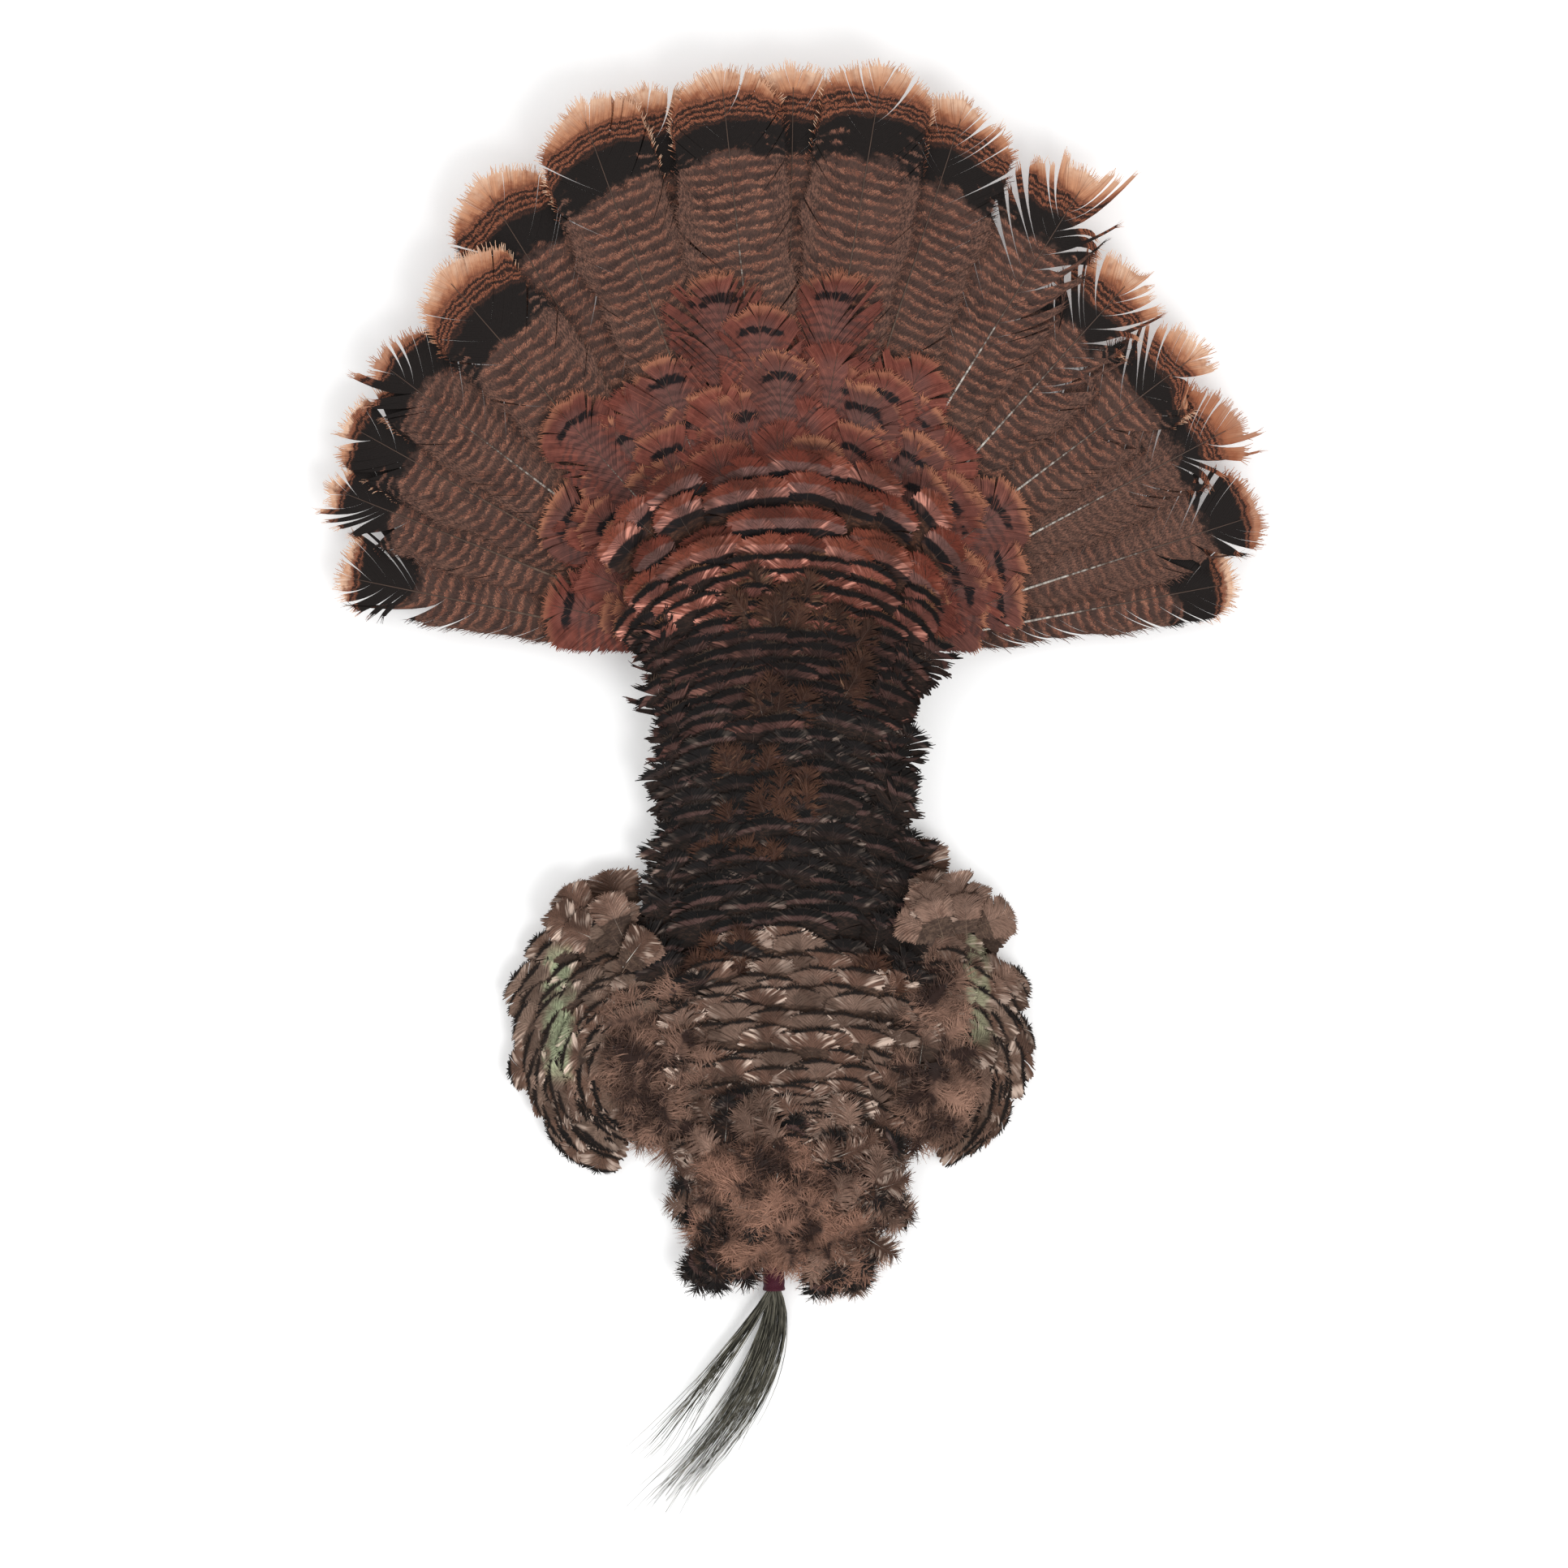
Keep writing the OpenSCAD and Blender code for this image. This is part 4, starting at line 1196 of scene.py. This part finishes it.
def filler():
    """The tail base keeps its CAD shape and gets a crust of filler and borax."""
    net = Net("filler")
    lumps = net.noise(net.position(), 60.0, 4.0, 0.6)
    grit = net.noise(net.position(), 900.0, 3.0, 0.7)
    colour = net.mix(net.step(lumps, 0.35, 0.65), rgb(150, 122, 92), rgb(196, 176, 146))
    colour = net.mix(net.step(grit, 0.52, 0.68) * 0.6, colour, rgb(228, 220, 206))
    net.bump(grit * 0.3 + lumps, 0.7, 0.002)
    paint("tail_base", net.surface(colour, 0.85))


def stitch_and_root():
    """Waxed thread of the stitch, and the dried button of skin that the bristles grow from."""
    net = Net("thread")
    twist = net.node("TexWave", {"Vector": net.position(), "Scale": 400.0, "Distortion": 1.5})[1]
    net.bump(twist, 0.6, 0.0004)
    paint("beard_stitch", net.surface(net.mix(twist, rgb(84, 70, 52), rgb(126, 108, 80)), 0.6))
    paint("beard_root", hide_stuff("beard_flesh", rgb(70, 44, 34), rgb(120, 84, 62)))


def paint(node, material):
    """Gives a CAD node that keeps its shape its material."""
    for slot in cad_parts[node].material_slots:
        slot.material = material


# ---------------------------------------------------------------- beard

# The two locks: their number of bristles, how far each bulges sideways, and their seeds.
LOCKS = {"beard_bristles_main": (150, 11 * MM, 81), "beard_bristles_side": (60, -9 * MM, 82)}
BRISTLE_CUTS = 11


def lock(node, count, bulge, seed, stuff):
    """Single bristles that fan out along the line of a CAD lock, some of them longer than it."""
    rng = np.random.default_rng(seed)
    points = np.concatenate(islands(node))
    levels = np.unique(np.round(points[:, 1], 5))[::-1]
    rows = [points[np.abs(points[:, 1] - y) < 0.2 * MM] for y in levels]
    middle = np.array([[row[:, 0].mean(), y] for row, y in zip(rows, levels)])
    half = np.array([np.ptp(row[:, 0]) / 2 for row in rows])
    low, high = points[:, 2].min(), points[:, 2].max()
    share = np.linspace(0, 1, len(levels))
    slope = (middle[-1] - middle[-2]) / (share[-1] - share[-2])
    radii = 0.36 * MM * (1 - 0.7 * np.linspace(0, 1, BRISTLE_CUTS))
    pile = Pile()
    for _ in range(count):
        steps = np.linspace(0, rng.uniform(0.6, 1.14), BRISTLE_CUTS)
        aside = rng.uniform(-1, 1)
        bend = rng.normal(-6, 10) * MM
        bow = bulge * np.sin(math.pi * np.clip(steps, 0, 1)) ** 0.8
        width = np.maximum(np.interp(steps, share, half), 2.5 * MM)
        spread = aside * width * (0.6 + 1.2 * np.sqrt(steps)) + bend * steps ** 2 + bow
        over = np.maximum(steps - 1, 0)
        x = np.interp(steps, share, middle[:, 0]) + spread + over * slope[0]
        y = np.interp(steps, share, middle[:, 1]) + over * slope[1]
        z = rng.uniform(low, high) + rng.normal(0, 1.0) * MM * steps
        z = np.maximum(z, 0.8 * MM)
        path = np.stack([x, y + 4 * MM * (1 - steps), z], 1)
        tube(pile, path, radii, 4, 0, rng.random())
    show(pile.mesh(node + ".plumage", [stuff]), node, "bristle", "beard")


def bristles():
    net = Net("bristle")
    _, run, seed = net.attribute("plan")
    tone = net.grain(run, seed, 0.0, 6.0, 30.0, 3.0, 0.5)
    stuff = net.surface(net.mix(net.step(tone, 0.35, 0.7), rgb(36, 36, 33), rgb(136, 132, 118)), 0.45)
    for node, (count, bulge, own_seed) in LOCKS.items():
        lock(node, count, bulge, own_seed, stuff)


def sleeve_stuff():
    net = Net("sleeve")
    side, run, _ = net.attribute("plan")
    weave = net.grain(side, run, 0.0, 14.0, 90.0, 3.0, 0.5)
    net.bump(weave, 0.5, 0.0004)
    return net.surface(net.mix(net.step(weave, 0.35, 0.65), rgb(50, 20, 30), rgb(84, 34, 48)), 0.5)


# The sleeve: points round it, rings outside and inside, the part of its run that is pressed flat, how
# far its wall stands inside its CAD solid, its wall's thickness, and how far its back reaches.
SLEEVE_TURNS, SLEEVE_RINGS, SLEEVE_INNER_RINGS = 56, 34, 12
SLEEVE_FLAT = 0.35
SLEEVE_INSET, SLEEVE_WALL, SLEEVE_BACK = 0.5 * MM, 1.3 * MM, 16 * MM


def sleeve():
    """The plum sleeve: a shrunk tube with folds and a rolled mouth, pressed flat at its stitched end."""
    low, high = (np.asarray(corner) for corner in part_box("beard_sleeve"))
    middle = (low + high) / 2
    radius = (high[0] - low[0]) / 2
    mouth, back = low[1], high[1] - SLEEVE_BACK
    run = np.concatenate([np.linspace(0, 1, SLEEVE_RINGS), np.linspace(1, 0.1, SLEEVE_INNER_RINGS)])[:, None]
    inner = np.repeat([0.0, 1.0], [SLEEVE_RINGS, SLEEVE_INNER_RINGS])[:, None]
    angle = np.linspace(0, 2 * math.pi, SLEEVE_TURNS, endpoint=False)[None]
    folds = 0.25 * MM * np.sin(3 * angle + 9 * run) + 0.15 * MM * np.sin(34 * run + np.sin(2 * angle))
    lip = 0.3 * MM * np.exp(-((run - 0.97) / 0.03) ** 2)
    r = radius - SLEEVE_INSET + folds * (1 - inner) + lip - SLEEVE_WALL * inner
    flat = np.clip(1 - run / SLEEVE_FLAT, 0, 1) ** 1.5
    centre_z = high[2] - radius
    x = middle[0] + r * np.cos(angle) * (1 - 0.04 * flat)
    z = centre_z + r * np.sin(angle)
    z = z * (1 - flat) + flat * (low[2] + 1.4 * MM + 0.13 * (z - centre_z))
    y = back + (mouth - back) * run + 0 * x
    y = np.where(run < 0.03, y + 6 * MM * np.abs(np.sin(angle)) ** 0.5 * flat, y)
    points = np.stack([x, y, z], -1).reshape(-1, 3)
    marks = np.stack([angle + 0 * x, run + inner + 0 * x, 0 * x], -1).reshape(-1, 3)
    pile = Pile()
    pile.add(points, ring_quads(len(run), SLEEVE_TURNS), marks, marks, 0)
    mesh = pile.mesh("beard_sleeve.tube", [sleeve_stuff()], True)
    show(mesh, "beard_sleeve", "sleeve", "beard")


# ---------------------------------------------------------------- stage, lights and camera

def stage():
    bpy.ops.mesh.primitive_plane_add(size=40, location=(0, 0, -0.2 * MM))
    floor = bpy.context.object
    floor.name = "floor"
    net = Net("floor")
    net.shader.inputs["Emission Color"].default_value = (1, 1, 1, 1)
    net.shader.inputs["Emission Strength"].default_value = 0.18
    floor.data.materials.append(net.surface((*rgb(250, 250, 250), 1.0), 0.9))


def add_lamp(name, location, aim, size, power):
    data = bpy.data.lights.new(name, "AREA")
    data.shape = "DISK"
    data.size = size
    data.energy = power
    lamp = bpy.data.objects.new(name, data)
    bpy.context.collection.objects.link(lamp)
    lamp.location = location
    lamp.rotation_euler = (Vector(aim) - Vector(location)).to_track_quat("-Z", "Y").to_euler()


def lights():
    world = bpy.data.worlds.new("studio")
    world.use_nodes = True
    world.node_tree.nodes["Background"].inputs["Color"].default_value = (1, 1, 1, 1)
    world.node_tree.nodes["Background"].inputs["Strength"].default_value = 0.78
    bpy.context.scene.world = world
    add_lamp("key", (1.3, -1.5, 2.4), (0, -0.05, 0), 1.5, 34)
    add_lamp("fill", (-1.6, 0.6, 2.0), (0, -0.05, 0), 1.6, 6)


# The lens looks straight down from CAMERA_HEIGHT and takes in VIEW_WIDTH, which is 1.7 fans.
SENSOR = 36
CAMERA_HEIGHT = 3.2
VIEW_WIDTH = 1.159
VIEW_MIDDLE = (0.0006, -0.0864)


def camera():
    data = bpy.data.cameras.new("camera")
    data.sensor_width = SENSOR
    data.lens = SENSOR * CAMERA_HEIGHT / VIEW_WIDTH
    eye = bpy.data.objects.new("camera", data)
    bpy.context.collection.objects.link(eye)
    eye.location = (*VIEW_MIDDLE, CAMERA_HEIGHT)
    bpy.context.scene.camera = eye


stage()
lights()
camera()
tail_feathers()
coverts()
body_rows()
shoulders()
neck_down()
for number, skin in enumerate(("cape_skin", "left_shoulder_skin", "right_shoulder_skin")):
    hide(skin, 91 + number)
filler()
stitch_and_root()
sleeve()
bristles()
bpy.context.scene.view_settings.view_transform = "Standard"
